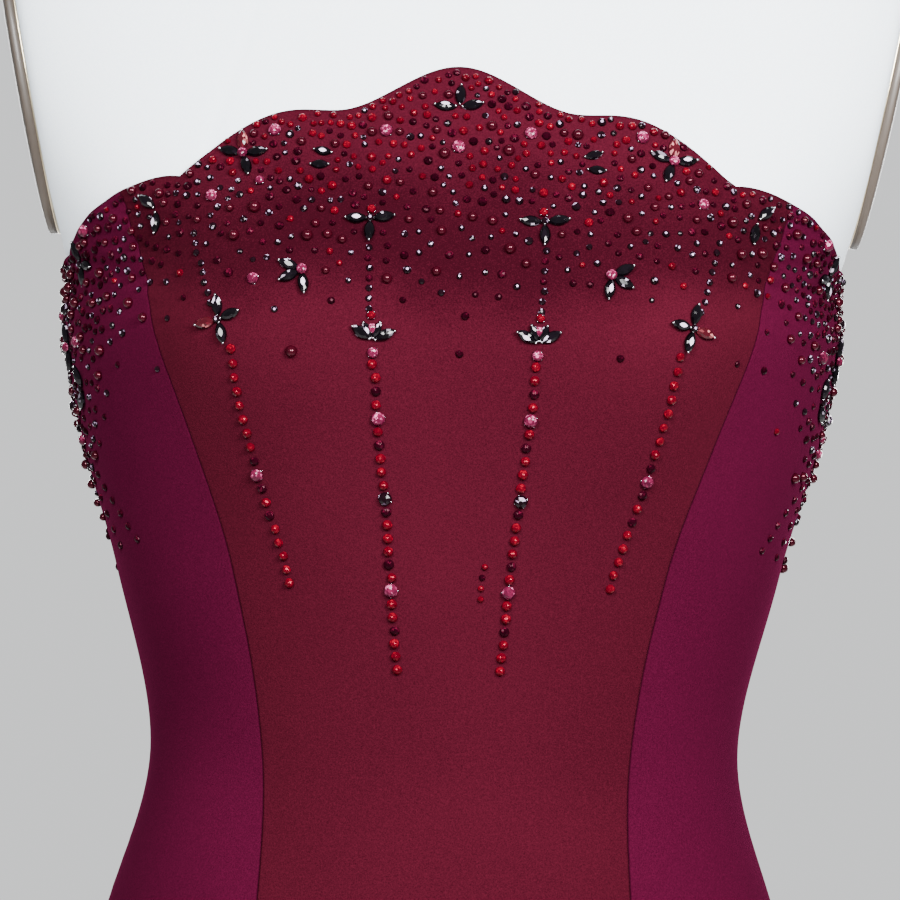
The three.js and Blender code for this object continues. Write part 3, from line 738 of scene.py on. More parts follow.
@dataclass
class Gown:
    """The gown's cloth: seven panels that follow the figure, with rolled edges at the seams."""

    figure: Figure
    neckline: Neckline
    ease: float = 0.8
    wall: float = 1.6
    seam_gap: float = 0.06
    seam_dip: float = 0.4
    seam_roll: float = 0.34
    top_start: float = 1180
    rim_offsets: tuple[float, ...] = (
        7, 5.4, 4, 3.1, 2.6, 2.2, 1.8, 1.4, 1.0, 0.65, 0.35, 0.12, 0.02
    )
    hem_offsets: tuple[float, ...] = (0.05, 0.5, 1.2, 2.5)
    stitch_depth: float = 0.28
    stitch_offset: float = 2.6
    zip_foot: float = 905
    zip_run_in: float = 12
    zip_half: float = 2.3
    seam_lead: tuple[float, ...] = (0, 0.1, 0.22, 0.38, 0.6, 1.0, 2.2)  # columns near a seam
    rounds: int = 8  # in which the columns' angles and heights settle

    def row_table(self) -> tuple[Array, Array, Array]:
        """The rows from hem to neckline.

        Returns:
            For each row its base height, its share of the rise to the neckline, and how far
            below the neckline it lies.
        """
        hem = self.figure.hem
        skirt = np.concatenate([
            hem + np.array(self.hem_offsets),
            np.linspace(hem + 6, 700, 80),
            np.linspace(709, self.zip_foot - self.zip_run_in, 18),
            np.linspace(self.zip_foot, 1030, 18),
            np.linspace(1034, self.top_start, 36),
        ])
        climb = np.linspace(0, 0.93, 58)[1:]
        rim = np.array(self.rim_offsets)
        base = np.concatenate([skirt, np.full(len(climb) + len(rim), self.top_start)])
        share = np.concatenate([np.zeros(len(skirt)), climb, np.ones(len(rim))])
        below = np.concatenate([np.zeros(len(skirt) + len(climb)), rim])
        return base, share, below

    def seam_edge(self, seam: Seam, height: Array, towards: int) -> Array:
        """A seam's angle, moved to one side by half the gap, and by half the zip where it is.

        Args:
            seam: the seam.
            height: heights in mm.
            towards: 1 or -1, the way in which the panel lies.

        Returns:
            Angles from the centre front.
        """
        angle = seam.angle(height)
        half = np.full_like(height, self.seam_gap / 2)
        if seam.parted:
            half = half + self.zip_half * smoothstep(
                self.zip_foot - self.zip_run_in, self.zip_foot, height
            )
        point = self.figure.points(angle, height)
        return angle + towards * np.degrees(half / np.hypot(point[..., 0], point[..., 1]))

    def lay_out(self, panel: Panel) -> tuple[Array, Array, Array, Array]:
        """Works out where a panel's columns and rows lie.

        The seams' angles depend on the height, and near the neckline the height depends on the
        angle, so both are settled in a few rounds. Columns gather at the seams.

        Args:
            panel: the panel.

        Returns:
            Angles, heights, the distance to the nearer seam and that below the neckline, in mm.
        """
        base, share, below = (a[:, None] for a in self.row_table())
        even = np.linspace(0, 1, panel.columns)[None, 1:-1]
        height = base + np.zeros((len(base), 1))
        across = np.full((len(base), 1), 0.5)
        for _ in range(self.rounds):
            start = self.seam_edge(panel.start, height, 1)
            end = self.seam_edge(panel.end, height, -1)
            radius = np.hypot(*np.moveaxis(self.figure.points(start, height)[..., :2], -1, 0))
            width = np.mean(np.radians(end - start) * radius, axis=1, keepdims=True)
            lead = np.array(self.seam_lead)[None, :] / width
            middle = lead[:, -1:] + (1 - 2 * lead[:, -1:]) * even
            across = np.concatenate([lead, middle, 1 - lead[:, ::-1]], 1)
            if height.shape[1] == 1:
                start, end = start + np.zeros_like(across), end + np.zeros_like(across)
            degrees = start * (1 - across) + end * across
            rise = self.neckline.height(degrees) - self.top_start
            height = base + share * rise - below
        edge = np.minimum(across, 1 - across) * width
        return degrees, height, edge, np.maximum(self.neckline.height(degrees) - height, 0)

    def relief(self, degrees: Array, height: Array) -> Array:
        """The cloth's soft unevenness, in mm.

        Under the stones the stitches pull it into low ripples that lie across, and below the
        bust it has a few broad, very shallow ones.

        Args:
            degrees: angles from the centre front.
            height: heights in mm.

        Returns:
            How far the cloth stands out.
        """
        at = np.abs(degrees)
        drift = np.sin(degrees * 0.11 + 1.3) * 5 + np.sin(degrees * 0.23 + 0.4) * 3
        ripple = np.sin((height + drift) * (2 * np.pi / 13)) + 0.6 * np.sin(
            (height - drift * 1.4) * (2 * np.pi / 8.5) + degrees * 0.2
        )
        yoke = smoothstep(1272, 1292, height) * (1 - smoothstep(1325, 1350, height))
        across = (0.35 + 0.65 * smoothstep(8, 34, at)) * (1 - smoothstep(60, 80, at))
        waves = np.sin(height * 0.045 + degrees * 0.05)
        waves = waves * np.sin(degrees * 0.09 + height * 0.012 + 2)
        trunk = smoothstep(700, 900, height) * (1 - smoothstep(1190, 1250, height))
        return 0.5 * ripple * yoke * across + 0.5 * waves * trunk

    def surface(self, degrees: Array, height: Array, lift: float = 0.0) -> Array:
        """Points on the cloth's outside, or lifted off it.

        Args:
            degrees: angles from the centre front.
            height: heights in mm.
            lift: how far off the cloth.

        Returns:
            Points in mm.
        """
        out = self.ease + self.wall + lift + self.relief(degrees, height)
        normals = self.figure.normals(degrees, height)
        return self.figure.points(degrees, height) + out[..., None] * normals

    def shell(self, panel: Panel) -> tuple[Array, Array, Array, Array]:
        """The two faces of a panel's cloth.

        At a seam the outer face rolls inwards by a bell curve. At the neckline and the hem both
        faces come together in a half round, and a row of stitches sinks in below the neckline.

        Args:
            panel: the panel.

        Returns:
            Outer points, inner points, the panel's row widths in mm, and how much painted shade
            each point takes in a seam's fold or at the rolled edge, from 0 to 1.
        """
        degrees, height, edge, below = self.lay_out(panel)
        point, normal = self.figure.points(degrees, height), self.figure.normals(degrees, height)
        half = self.wall / 2
        ends = np.minimum(below, height - self.figure.hem)
        depth = np.clip(1 - ends / half, 0, 1)
        round_off = half * (1 - np.sqrt(np.maximum(1 - depth**2, 0)))
        stitched = self.stitch_depth * bell(below - self.stitch_offset, 0.5)
        pucker = 0.1 * np.sin(height * (2 * np.pi / 7)) * bell(edge - 3, 3) * (height > 1000)
        outer = self.ease + self.wall + self.relief(degrees, height) + pucker
        outer = outer - self.seam_dip * bell(edge, self.seam_roll) - round_off - stitched
        inner = self.ease + np.minimum(round_off, half - 0.02)
        outer = np.maximum(outer, inner + 0.04)
        out_points = point + outer[..., None] * normal
        spans = np.linalg.norm(np.diff(out_points, axis=1), axis=-1).sum(1)
        # painted shade: 1 in a seam's fold and just under the rolled neckline edge
        fold_shade = np.maximum(0.8 * bell(edge, 0.4), 0.7 * bell(below, 0.9))
        return out_points, point + inner[..., None] * normal, spans, fold_shade

    def build(self, body_cloth: Finish, side_cloth: Finish) -> None:
        """Args:
            body_cloth: the finish of the centre panels.
            side_cloth: the finish of the side panels.
        """
        for panel in gown_panels():
            outer, inner, spans, fold_shade = self.shell(panel)
            rows, columns = outer.shape[:2]
            count = rows * columns
            front = grid_faces(rows, columns)
            back = grid_faces(rows, columns)[:, ::-1] + count
            ring = np.concatenate([
                np.arange(columns),
                np.arange(1, rows) * columns + columns - 1,
                (rows - 1) * columns + np.arange(columns - 2, -1, -1),
                np.arange(rows - 2, 0, -1) * columns,
            ])
            after = np.roll(ring, -1)
            walls = np.stack([ring + count, after + count, after, ring], -1)
            finish = side_cloth if panel.sides_cloth else body_cloth
            points = np.concatenate([outer.reshape(-1, 3), inner.reshape(-1, 3)])
            piece = make_piece(
                "gown_" + panel.node, points, np.concatenate([front, back, walls]), finish
            )
            # the painted shade of the folds, for the cloth's material to read
            paint(piece, "fold_shade", np.stack([fold_shade, fold_shade]), "POINT")
            settle(piece, "gown_side_cloth" if panel.sides_cloth else "gown_cloth", panel.node)


class Gem(Enum):
    """The kinds of stone on the bodice."""

    RED = "red"
    JET = "jet"
    PEARL = "pearl"
    WINE = "wine"
    ROSE = "rose"


@dataclass(frozen=True)
class Cut:
    """A stone's closed shape for a radius of 1: its points, and its faces by their corners."""

    points: Array
    corners: Array
    sizes: Array

    @staticmethod
    def stacked(rings: Array, split: bool = False) -> "Cut":
        """A stack of rings, closed by its lowest one and by its highest, the table.

        Args:
            rings: points by ring and column.
            split: whether each side between two rings is two triangles.

        Returns:
            The shape.
        """
        rows, sides = rings.shape[:2]
        quads = grid_faces(rows, sides, wrap=True)
        if split:
            quads = np.concatenate([quads[:, [0, 1, 3]], quads[:, [1, 2, 3]]])
        ring = np.arange(sides)
        corners = np.concatenate([quads.ravel(), (rows - 1) * sides + ring, ring[::-1]])
        sizes = np.concatenate([np.full(len(quads), quads.shape[1]), [sides, sides]])
        return Cut(rings.reshape(-1, 3), corners, sizes)

    @staticmethod
    def turned(profile: tuple[tuple[float, float], ...], sides: int, twist: float = 0.0) -> "Cut":
        """A stone turned about its axis.

        Ring k of the profile is a regular polygon of the given radius at the given height, each
        turned half a side from the one below where twist is 0.5. The last ring is the table.

        Args:
            profile: radius and height of each ring, from the girdle's underside to the table.
            sides: how many sides a ring has.
            twist: how far each ring turns from the one below, in sides.

        Returns:
            The shape.
        """
        turn = np.arange(sides)[None, :] + twist * np.arange(len(profile))[:, None]
        angle = turn * (2 * np.pi / sides)
        radius = np.array([r for r, _ in profile])[:, None]
        height = np.array([h for _, h in profile])[:, None] + np.zeros_like(angle)
        points = np.stack([radius * np.cos(angle), radius * np.sin(angle), height], -1)
        return Cut.stacked(points, split=bool(twist))

    @staticmethod
    def petal(length: float, width: float) -> "Cut":
        """A navette: an outline pointed at both ends, stepped in twice to a narrow table.

        Half the outline's width at a share t of the length is (sin(pi t))^0.8 of the half width.

        Args:
            length: its length in mm, from a root at the origin along +Y.
            width: its width in mm.

        Returns:
            The shape.
        """
        t = np.linspace(0, 1, 7)
        half = np.sin(np.pi * t) ** 0.8 * width / 2
        right = np.stack([half, t * length], -1)
        left = np.stack([-half[1:-1], t[1:-1] * length], -1)[::-1]
        outline = np.concatenate([right, left])
        middle = np.array([0, length / 2])
        steps = ((1.0, 0.0), (1.0, 0.7), (0.8, 1.5), (0.4, 2.1))
        rings = [np.column_stack([(outline - middle) * s + middle, np.full(len(outline), h)])
                 for s, h in steps]
        return Cut.stacked(np.array(rings))


@dataclass
class Setting:
    """Gathers stones of one cut and lays them all in one mesh."""

    cut: Cut
    sparkle: float = 2.2  # how rare the painted glints of bright facets are
    lit: float = 0.0  # the share of stones that are dark but for a table painted bright, a painted reflection of a lamp
    own_share: float = 0.4  # of a facet's tone; the rest is its painted glint
    top_light_share: float = 0.28  # painted light: how much brighter a facet that faces up the cloth is
    glint_cutoff: float = 0.8
    centres: list[Array] = field(default_factory=list)
    frames: list[Array] = field(default_factory=list)
    sizes: list[float] = field(default_factory=list)
    tones: list[float] = field(default_factory=list)

    def add(self, centre: Array, axes: Array, size: float, tone: float) -> None:
        """Adds a stone.

        Args:
            centre: where its underside's middle is, in mm.
            axes: its x, y and z axes as rows.
            size: its scale.
            tone: its own brightness, from 0 to 1.
        """
        self.centres.append(centre)
        self.frames.append(axes)
        self.sizes.append(size)
        self.tones.append(tone)

    def build(self, name: str, finish: Finish, rng: Generator, smooth: bool) -> Piece:
        """Makes one piece of all the stones: point = centre + size * (cut's point in the axes).

        Args:
            name: the piece's name.
            finish: its material.
            rng: where the facets' tones come from.
            smooth: whether the stones are shaded smooth.

        Returns:
            The piece.
        """
        count = len(self.centres)
        scale = np.array(self.sizes)[:, None, None]
        turned = np.einsum("pk,nkc->npc", self.cut.points, np.array(self.frames))
        points = np.array(self.centres)[:, None, :] + scale * turned
        shift = (np.arange(count) * len(self.cut.points))[:, None]
        corners = (self.cut.corners[None, :] + shift).ravel()
        faces = np.tile(self.cut.sizes, count)
        piece = make_mixed_piece(name, points, corners, faces, finish, smooth)
        own = np.repeat(np.array(self.tones), len(self.cut.sizes))
        starts = np.concatenate([[0], np.cumsum(self.cut.sizes)[:-1]])
        sums = np.add.reduceat(self.cut.points[self.cut.corners], starts)
        middles = sums / self.cut.sizes[:, None]
        # painted light from above: facets that face up the cloth are lighter and those that face
        # down darker
        upward = np.einsum("fk,nk->nf", middles, np.array(self.frames)[:, :, 2]).ravel()
        reach = np.abs(self.cut.points).max()
        # painted glints: a few facets at random are much brighter, standing in for the stone's
        # inner reflections
        painted_glint = rng.random(len(faces)) ** self.sparkle
        rest = 1 - self.own_share
        mixed = self.own_share * own + rest * painted_glint + self.top_light_share * upward / reach
        tone = np.clip(mixed, 0, 1)
        # painted highlights: the brightest glints, and whole tables painted white as if they
        # mirrored a lamp
        if self.lit:
            tone = rest * tone + self.own_share * (painted_glint > self.glint_cutoff)
            tables = np.arange(1, count + 1) * len(self.cut.sizes) - 2
            tone[tables[np.array(self.tones) < self.lit]] = 1
        paint(piece, "tone", tone)
        return piece


@dataclass(frozen=True)
class Petal:
    """One petal of a flower: its turn clockwise from straight up, and its root's place."""

    turn: float
    x: float = 0.0
    y: float = 0.0
    size: float = 1.0
    rosy: bool = False


@dataclass(frozen=True)
class Flower:
    """A flower of navettes: where its middle lies, and its petals on the wearer's left."""

    nodes: tuple[str, ...]
    angle: float
    height: float
    petals: tuple[Petal, ...]
    heart: Gem | None = None


FLOWERS: tuple[Flower, ...] = (
    Flower(("flower_trio",), 0, 1360, (Petal(0), Petal(84), Petal(276))),
    Flower(("flower_bloom_left", "flower_bloom_right"), 40, 1340,
           (Petal(15, rosy=True), Petal(80), Petal(200), Petal(290)), Gem.ROSE),
    Flower(("flower_pair_left", "flower_pair_right"), 27, 1338,
           (Petal(80, -5.5, 2.7, 0.85), Petal(97, -4.5, -2.2, 0.85))),
    Flower(("flower_tee_left", "flower_tee_right"), 16.7, 1314.5,
           (Petal(84), Petal(180), Petal(276)), Gem.JET),
    Flower(("flower_fan_left", "flower_fan_right"), 26.5, 1293.5,
           (Petal(62), Petal(115), Petal(190)), Gem.ROSE),
    Flower(("flower_cross_left", "flower_cross_right"), 37.5, 1274,
           (Petal(8), Petal(108, rosy=True), Petal(195), Petal(284)), Gem.JET),
    Flower(("flower_cup_left", "flower_cup_right"), 15, 1267,
           (Petal(22, size=0.8), Petal(62), Petal(298), Petal(338, size=0.8))),
    Flower((), 51.5, 1318, (Petal(60), Petal(190))),
    Flower((), 70, 1298, (Petal(20), Petal(160), Petal(265)), Gem.JET),
    Flower((), 78, 1264, (Petal(10), Petal(100), Petal(185)), Gem.ROSE),
    Flower((), 73, 1247, (Petal(0), Petal(150)), Gem.JET),
    Flower((), 112, 1278, (Petal(10), Petal(105), Petal(190), Petal(285)), Gem.JET),
    Flower((), 138, 1270, (Petal(84), Petal(180), Petal(276)), Gem.ROSE),
)


@dataclass(frozen=True)
class String:
    """A string of stones down the cloth."""

    name: str
    path: Table
    pitch: float
    radius: float
    gems: tuple[Gem, ...]
    set_stones: tuple[tuple[float, Gem], ...] = ()
    replaces_solid: bool = False
    mirrored: bool = True


STRINGS: tuple[String, ...] = (
    String("outer", Table(("height", "angle"), (1170, 34), (1213, 36.2), (1263, 36)), 5.25, 2.0,
           (Gem.RED, Gem.RED, Gem.RED, Gem.WINE, Gem.RED), ((1213.5, Gem.ROSE),), True),
    String("inner", Table(("height", "angle"), (1136, 12.1), (1205, 13.6), (1257.8, 14.8)),
           5.25, 2.1, (Gem.RED, Gem.RED, Gem.WINE, Gem.RED, Gem.RED, Gem.RED),
           ((1239, Gem.ROSE), (1206, Gem.JET), (1168, Gem.ROSE)), True),
    String("chain_to_cross", Table(("height", "angle"), (1280, 39), (1293, 41.5), (1308, 44.2)),
           3.6, 1.45, (Gem.JET,)),
    String("chain_to_cup", Table(("height", "angle"), (1279, 15.4), (1303, 16.4)), 3.7, 1.45,
           (Gem.JET, Gem.WINE, Gem.JET)),
    String("side_drop_upper", Table(("height", "angle"), (1186, 67), (1199, 71), (1212, 76)),
           5.2, 1.6, (Gem.WINE,)),
    String("side_drop_lower", Table(("height", "angle"), (1183, 74.5), (1196, 77), (1209, 80)),
           5.4, 1.6, (Gem.WINE,)),
    String("short_run", Table(("height", "angle"), (1165, 6.7), (1178, 7.2)), 4.3, 1.35,
           (Gem.RED, Gem.WINE), mirrored=False),
)


@dataclass(frozen=True)
class Single:
    """A claw-set stone on its own, on the wearer's left and mirrored unless it is in the middle."""

    angle: float
    height: float
    radius: float
    gem: Gem


SINGLES: tuple[Single, ...] = (
    Single(0, 1344, 2.7, Gem.ROSE),
    Single(15.5, 1350, 2.6, Gem.ROSE),
    Single(36, 1349.5, 2.6, Gem.ROSE),
    Single(43, 1323, 2.4, Gem.ROSE),
    Single(66, 1311, 2.7, Gem.ROSE),
    Single(16.6, 1318.2, 1.9, Gem.RED),
    Single(14.9, 1262.3, 2.2, Gem.ROSE),
    Single(15, 1271.5, 2.1, Gem.ROSE),
    Single(15.2, 1276.5, 1.8, Gem.RED),
    Single(77, 1288, 2.4, Gem.PEARL),
    Single(80, 1279, 2.6, Gem.JET),
    Single(84, 1240, 2.6, Gem.JET),
    Single(80, 1226, 2.3, Gem.ROSE),
    Single(86, 1216, 2.2, Gem.PEARL),
)


@dataclass
class StoneTrim:
    """All that is sewn on the bodice: flowers, strings and the scatter along the neckline."""

    gown: Gown
    seed: int = 17
    petal_length: float = 9.4
    petal_width: float = 4.5
    claw: float = 0.46
    throws: int = 70000
    most_kept: int = 6000
    reach: float = 128  # how far below the neckline a stone may be thrown
    radii: tuple[float, ...] = (1.62, 1.5, 2.1, 1.62, 2.4)  # in the order of Gem
    bare: float = 1e6  # the clearance where no stone lies
    lower_limit: Table = Table(
        ("angle", "height"),
        (0, 1291), (30, 1291), (45, 1291), (54, 1284), (60, 1268), (67, 1243), (75, 1212),
        (83, 1200), (95, 1202), (106, 1222), (125, 1234), (155, 1236), (180, 1236),
    )

    def frame_at(self, degrees: float, height: float, lift: float = 0.1) -> tuple[Array, Array]:
        """A place on the cloth and the axes there.

        Args:
            degrees: the angle from the centre front.
            height: the height in mm.
            lift: how far off the cloth, in mm.

        Returns:
            The place, and as rows the directions across, up the cloth and off it.
        """
        at = np.array([degrees]), np.array([height])
        normal = self.gown.figure.normals(*at)[0]
        across = unit(np.cross((0, 0, 1), normal))
        up = np.cross(normal, across)
        return self.gown.surface(*at, lift=lift)[0], np.stack([across, up, normal])

    def settings(self) -> dict[str, Setting]:
        """One setting per kind of stone, with its cut."""
        red_cut = Cut.turned(
            ((0.95, 0), (1.0, 0.32), (0.84, 0.7), (0.55, 0.98), (0.24, 1.12)), 7, 0.5
        )
        dome = Cut.turned(((0.93, 0), (1.0, 0.4), (0.84, 0.86), (0.5, 1.18), (0.16, 1.31)), 10)
        chaton = Cut.turned(((0.8, 0), (1.0, 0.4), (0.86, 0.72), (0.6, 0.98), (0.3, 1.06)), 10, 0.5)
        jet_cut = Cut.turned(((0.95, 0), (1.0, 0.32), (0.82, 0.68), (0.34, 0.98)), 8, 0.5)
        wine_cut = Cut.turned(((0.95, 0), (1.0, 0.3), (0.8, 0.62), (0.34, 0.86)), 8, 0.5)
        bead = Cut.turned(((0.7, 0), (1.0, 0.6), (0.8, 1.3), (0.3, 1.7)), 6)
        petal = Cut.petal(self.petal_length, self.petal_width)
        return {
            Gem.RED.value: Setting(red_cut),
            Gem.JET.value: Setting(jet_cut, 2.8, lit=0.55),
            Gem.PEARL.value: Setting(dome),
            Gem.WINE.value: Setting(wine_cut),
            Gem.ROSE.value: Setting(chaton, 2.4),
            "petal": Setting(petal, 2.6, lit=0.2),
            "rosy_petal": Setting(petal),
            "claw": Setting(bead),
        }

    def tilted(self, axes: Array, rng: Generator, tilt: float) -> Array:
        """The axes turned at random about the last one and leaned a little, as sewn stones are.

        Args:
            axes: the axes as rows.
            rng: where the turn and the lean come from.
            tilt: the usual lean in degrees.

        Returns:
            The new axes.
        """
        spin = Matrix.Rotation(rng.uniform(0, 2 * math.pi), 3, "Z")
        lean = Matrix.Rotation(math.radians(rng.normal(0, tilt)), 3, "X")
        other = Matrix.Rotation(math.radians(rng.normal(0, tilt)), 3, "Y")
        return np.array(lean @ other @ spin) @ axes

    def claws(
        self, settings: dict[str, Setting], place: Array, axes: Array, radius: float
    ) -> None:
        """Sets four small claws round a stone.

        Args:
            settings: where the claws are gathered.
            place: the stone's middle.
            axes: its axes.
            radius: the stone's radius.
        """
        for quarter in range(4):
            turn = math.pi / 4 + quarter * math.pi / 2
            out = math.cos(turn) * axes[0] + math.sin(turn) * axes[1]
            settings["claw"].add(place + out * radius * 0.92, axes, self.claw, 0.7)

    def add_flower(
        self, flower: Flower, side: Side, settings: dict[str, Setting], rng: Generator
    ) -> None:
        """Lays one flower's petals, their claws and its heart.

        Args:
            flower: the flower.
            side: which side it is on.
            settings: where the stones are gathered.
            rng: where the petals' leans and tones come from.
        """
        sign = side.value
        place, axes = self.frame_at(sign * flower.angle, flower.height, 0.35)
        for petal in flower.petals:
            turn = math.radians(petal.turn + rng.normal(0, 4)) * sign
            along = math.sin(turn) * axes[0] + math.cos(turn) * axes[1]
            along = unit(along + axes[2] * abs(rng.normal(0, 0.06)))
            side_on = unit(np.cross(along, axes[2]) + axes[2] * rng.normal(0, 0.13))
            root = place + sign * petal.x * axes[0] + petal.y * axes[1] + along * 0.9
            own = np.stack([side_on, along, np.cross(side_on, along)])
            kind = "rosy_petal" if petal.rosy else "petal"
            settings[kind].add(root, own, petal.size, rng.random())
            for share in (0.05, 0.95):
                foot = along * share * self.petal_length * petal.size
                settings["claw"].add(root + foot + own[2] * 0.5, own, self.claw * 1.4, 0.8)
        if flower.heart:
            radius = 2.2 if flower.heart is Gem.ROSE else 1.6
            settings[flower.heart.value].add(place + axes[2] * 0.9, axes, radius, rng.random())

    def add_string(
        self, string: String, side: Side, settings: dict[str, Setting], rng: Generator
    ) -> None:
        """Lays one string's stones, evenly down its path.

        Args:
            string: the string.
            side: which side it is on.
            settings: where the stones are gathered.
            rng: where the stones' tones come from.
        """
        low, high = string.path.keys[0], string.path.keys[-1]
        count = int((high - low) / string.pitch)
        for i, height in enumerate(np.linspace(high, low, count + 1)):
            angle = side.value * float(string.path.smooth("angle", np.array(height)))
            near = [gem for at, gem in string.set_stones if abs(at - height) < string.pitch / 2]
            place, axes = self.frame_at(angle + rng.normal(0, 0.12), height)
            axes = self.tilted(axes, rng, 5)
            gem = near[0] if near else string.gems[(i * 7 + i // 3) % len(string.gems)]
            radius = string.radius * (1.35 if near else 0.94 + 0.1 * rng.random())
            settings[gem.value].add(place, axes, radius, 0.4 + 0.6 * rng.random())
            if near:
                self.claws(settings, place, axes, radius)

    def kinds(self, degrees: Array, height: Array, draw: Array) -> Array:
        """Chooses the scattered stones' kinds.

        Reds gather in the middle scallops; below them the stones are mostly jet, and at the
        sides mostly dark wine.

        Args:
            degrees: angles from the centre front.
            height: heights in mm.
            draw: a random number from 0 to 1 for each.

        Returns:
            The kinds' numbers in the order of Gem.
        """
        at = np.abs(degrees)
        side = smoothstep(55, 66, at)
        top = smoothstep(1316, 1345, height) * (1 - smoothstep(44, 58, at))
        red = 0.42 * top + 0.08 * (1 - side)
        jet = 0.1 * top + (1 - top) * (0.32 * (1 - side) + 0.2 * side)
        pearl = 0.17 + 0.06 * (1 - top)
        wine = 0.988 - red - jet - pearl
        limits = np.cumsum(np.stack([red, jet, pearl, wine], -1), -1)
        return (draw[:, None] > limits).sum(-1)

    def clearance(self, degrees: Array, height: Array, below: Array) -> Array:
        """How much bare cloth a scattered stone keeps round itself, in mm.

        It grows with the square of the way down from the neckline to the scatter's lower limit,
        then quickly, and no stone lies more than a little under the limit.

        Args:
            degrees: angles from the centre front.
            height: heights in mm.
            below: distances below the neckline in mm.

        Returns:
            Clearances, very wide where no stone lies.
        """
        limit = self.lower_limit.smooth("height", np.abs(degrees))
        share = below / (below + height - limit)
        inside = 0.5 + 2.9 * np.clip(share, 0, 1) ** 2
        under = np.maximum(limit - height, 0)
        return np.where(under > 34, self.bare, inside + under * 0.42)

    def scatter(self, settings: dict[str, Setting], taken: Array, rng: Generator) -> None:
        """Throws stones at random and keeps each that lies clear of all before it.

        Args:
            settings: where the stones are gathered.
            taken: places and radii of what lies there already, one row each.
            rng: where the places come from.
        """
        degrees = rng.uniform(-177, 177, self.throws)
        draw = rng.random((4, self.throws))
        below = 1 + self.reach * draw[0] ** 1.3
        height = self.gown.neckline.height(degrees) - below
        kind = self.kinds(degrees, height, draw[1])
        radius = np.array(self.radii)[kind] * (0.78 + 0.42 * draw[2] ** 1.5)
        clear = self.clearance(degrees, height, below)
        able = (clear < self.bare) & (below > radius + 0.8)
        places = self.gown.surface(degrees, height)
        count = len(taken)
        spots = np.zeros((count + self.most_kept, 4))
        spots[:count] = taken
        gems = list(Gem)
        for i in np.flatnonzero(able):
            room = np.linalg.norm(spots[:count, :3] - places[i], axis=1) - spots[:count, 3]
            if room.min() < radius[i] + clear[i]:
                continue
            spots[count] = *places[i], radius[i]
            count += 1
            place, axes = self.frame_at(degrees[i], height[i])
            gem = gems[kind[i]]
            axes = self.tilted(axes, rng, 0 if gem is Gem.PEARL else 8)
            settings[gem.value].add(place, axes, radius[i], draw[3, i])
            if gem is Gem.ROSE:
                self.claws(settings, place, axes, radius[i])

    def build(self, finishes: dict[str, Finish]) -> None:
        """Makes all the trim, one piece per kind of stone.

        Args:
            finishes: a material per kind.
        """
        rng = np.random.default_rng(self.seed)
        settings = self.settings()
        for flower in FLOWERS:
            for side in Side if flower.angle else (Side.LEFT,):
                self.add_flower(flower, side, settings, rng)
        for string in STRINGS:
            for side in Side if string.mirrored else (Side.LEFT,):
                self.add_string(string, side, settings, rng)
        for single in SINGLES:
            for side in Side if single.angle else (Side.LEFT,):
                place, axes = self.frame_at(side.value * single.angle, single.height, 0.3)
                settings[single.gem.value].add(place, self.tilted(axes, rng, 4), single.radius, 0.8)
                self.claws(settings, place, axes, single.radius)
        taken = []
        for kind, setting in settings.items():
            for centre, axes, size in zip(setting.centres, setting.frames, setting.sizes):
                if "petal" in kind:
                    taken += [(*(centre + axes[1] * step), 2.0) for step in (2, 5, 8)]
                elif kind != "claw":
                    taken.append((*centre, size))
        self.scatter(settings, np.array(taken), rng)
        solids = {
            "petal": [n for f in FLOWERS for n in f.nodes],
            "red": [f"stone_string_{s.name}_{side.name.lower()}"
                    for s in STRINGS if s.replaces_solid for side in Side],
        }
        for kind, setting in settings.items():
            piece = setting.build(f"stones_{kind}", finishes[kind], rng, kind in ("pearl", "claw"))
            slot = "red_crystal" if kind in ("red", "rose", "rosy_petal") else "dark_crystal"
            settle(piece, slot, *solids.get(kind, []))
            log.info("%s: %d stones", kind, len(setting.centres))


def revolve(profile: Array, place: tuple[float, float, float] = (0, 0, 0)) -> tuple:
    """Turns a profile about the upright axis into a closed body.

    Point (k, j) is (r_k cos a_j, r_k sin a_j, h_k) with a_j evenly round the circle. The
    profile's first and last points lie on the axis.

    Args:
        profile: radius and height in mm of each ring, from the bottom up.
        place: where the axis meets the ground.

    Returns:
        Points, face corners and face sizes.
    """
    angle = np.linspace(0, 2 * np.pi, TURNED_SIDES, endpoint=False)[None, :]
    radius, height = profile[1:-1, :1], profile[1:-1, 1:] + np.zeros_like(angle)
    rings = np.stack([radius * np.cos(angle), radius * np.sin(angle), height], -1)
    ends = np.zeros((2, 3))
    ends[:, 2] = profile[[0, -1], 1]
    return capped(rings + np.array(place), *(ends + np.array(place)))


def rounded(corners: tuple[tuple[float, float, float], ...], steps: int = 6) -> Array:
    """A profile whose corners are rounded: each is a quadratic curve between its two tangents.

    A point just before and one just after each curve keep the flats beside it flat.

    Args:
        corners: radius, height and rounding of each corner in mm.
        steps: points along each rounding.

    Returns:
        The profile's points.
    """
    spots = np.array([c[:2] for c in corners])
    out = [spots[:1]]
    t = np.linspace(0, 1, steps)[:, None]
    for i in range(1, len(corners) - 1):
        back, ahead = unit(spots[i - 1] - spots[i]), unit(spots[i + 1] - spots[i])
        a, b = spots[i] + back * corners[i][2], spots[i] + ahead * corners[i][2]
        curve = (1 - t) ** 2 * a + 2 * t * (1 - t) * spots[i] + t * t * b
        out += [(a + 0.2 * back)[None], curve, (b + 0.2 * ahead)[None]]
    out.append(spots[-1:])
    return np.concatenate(out)


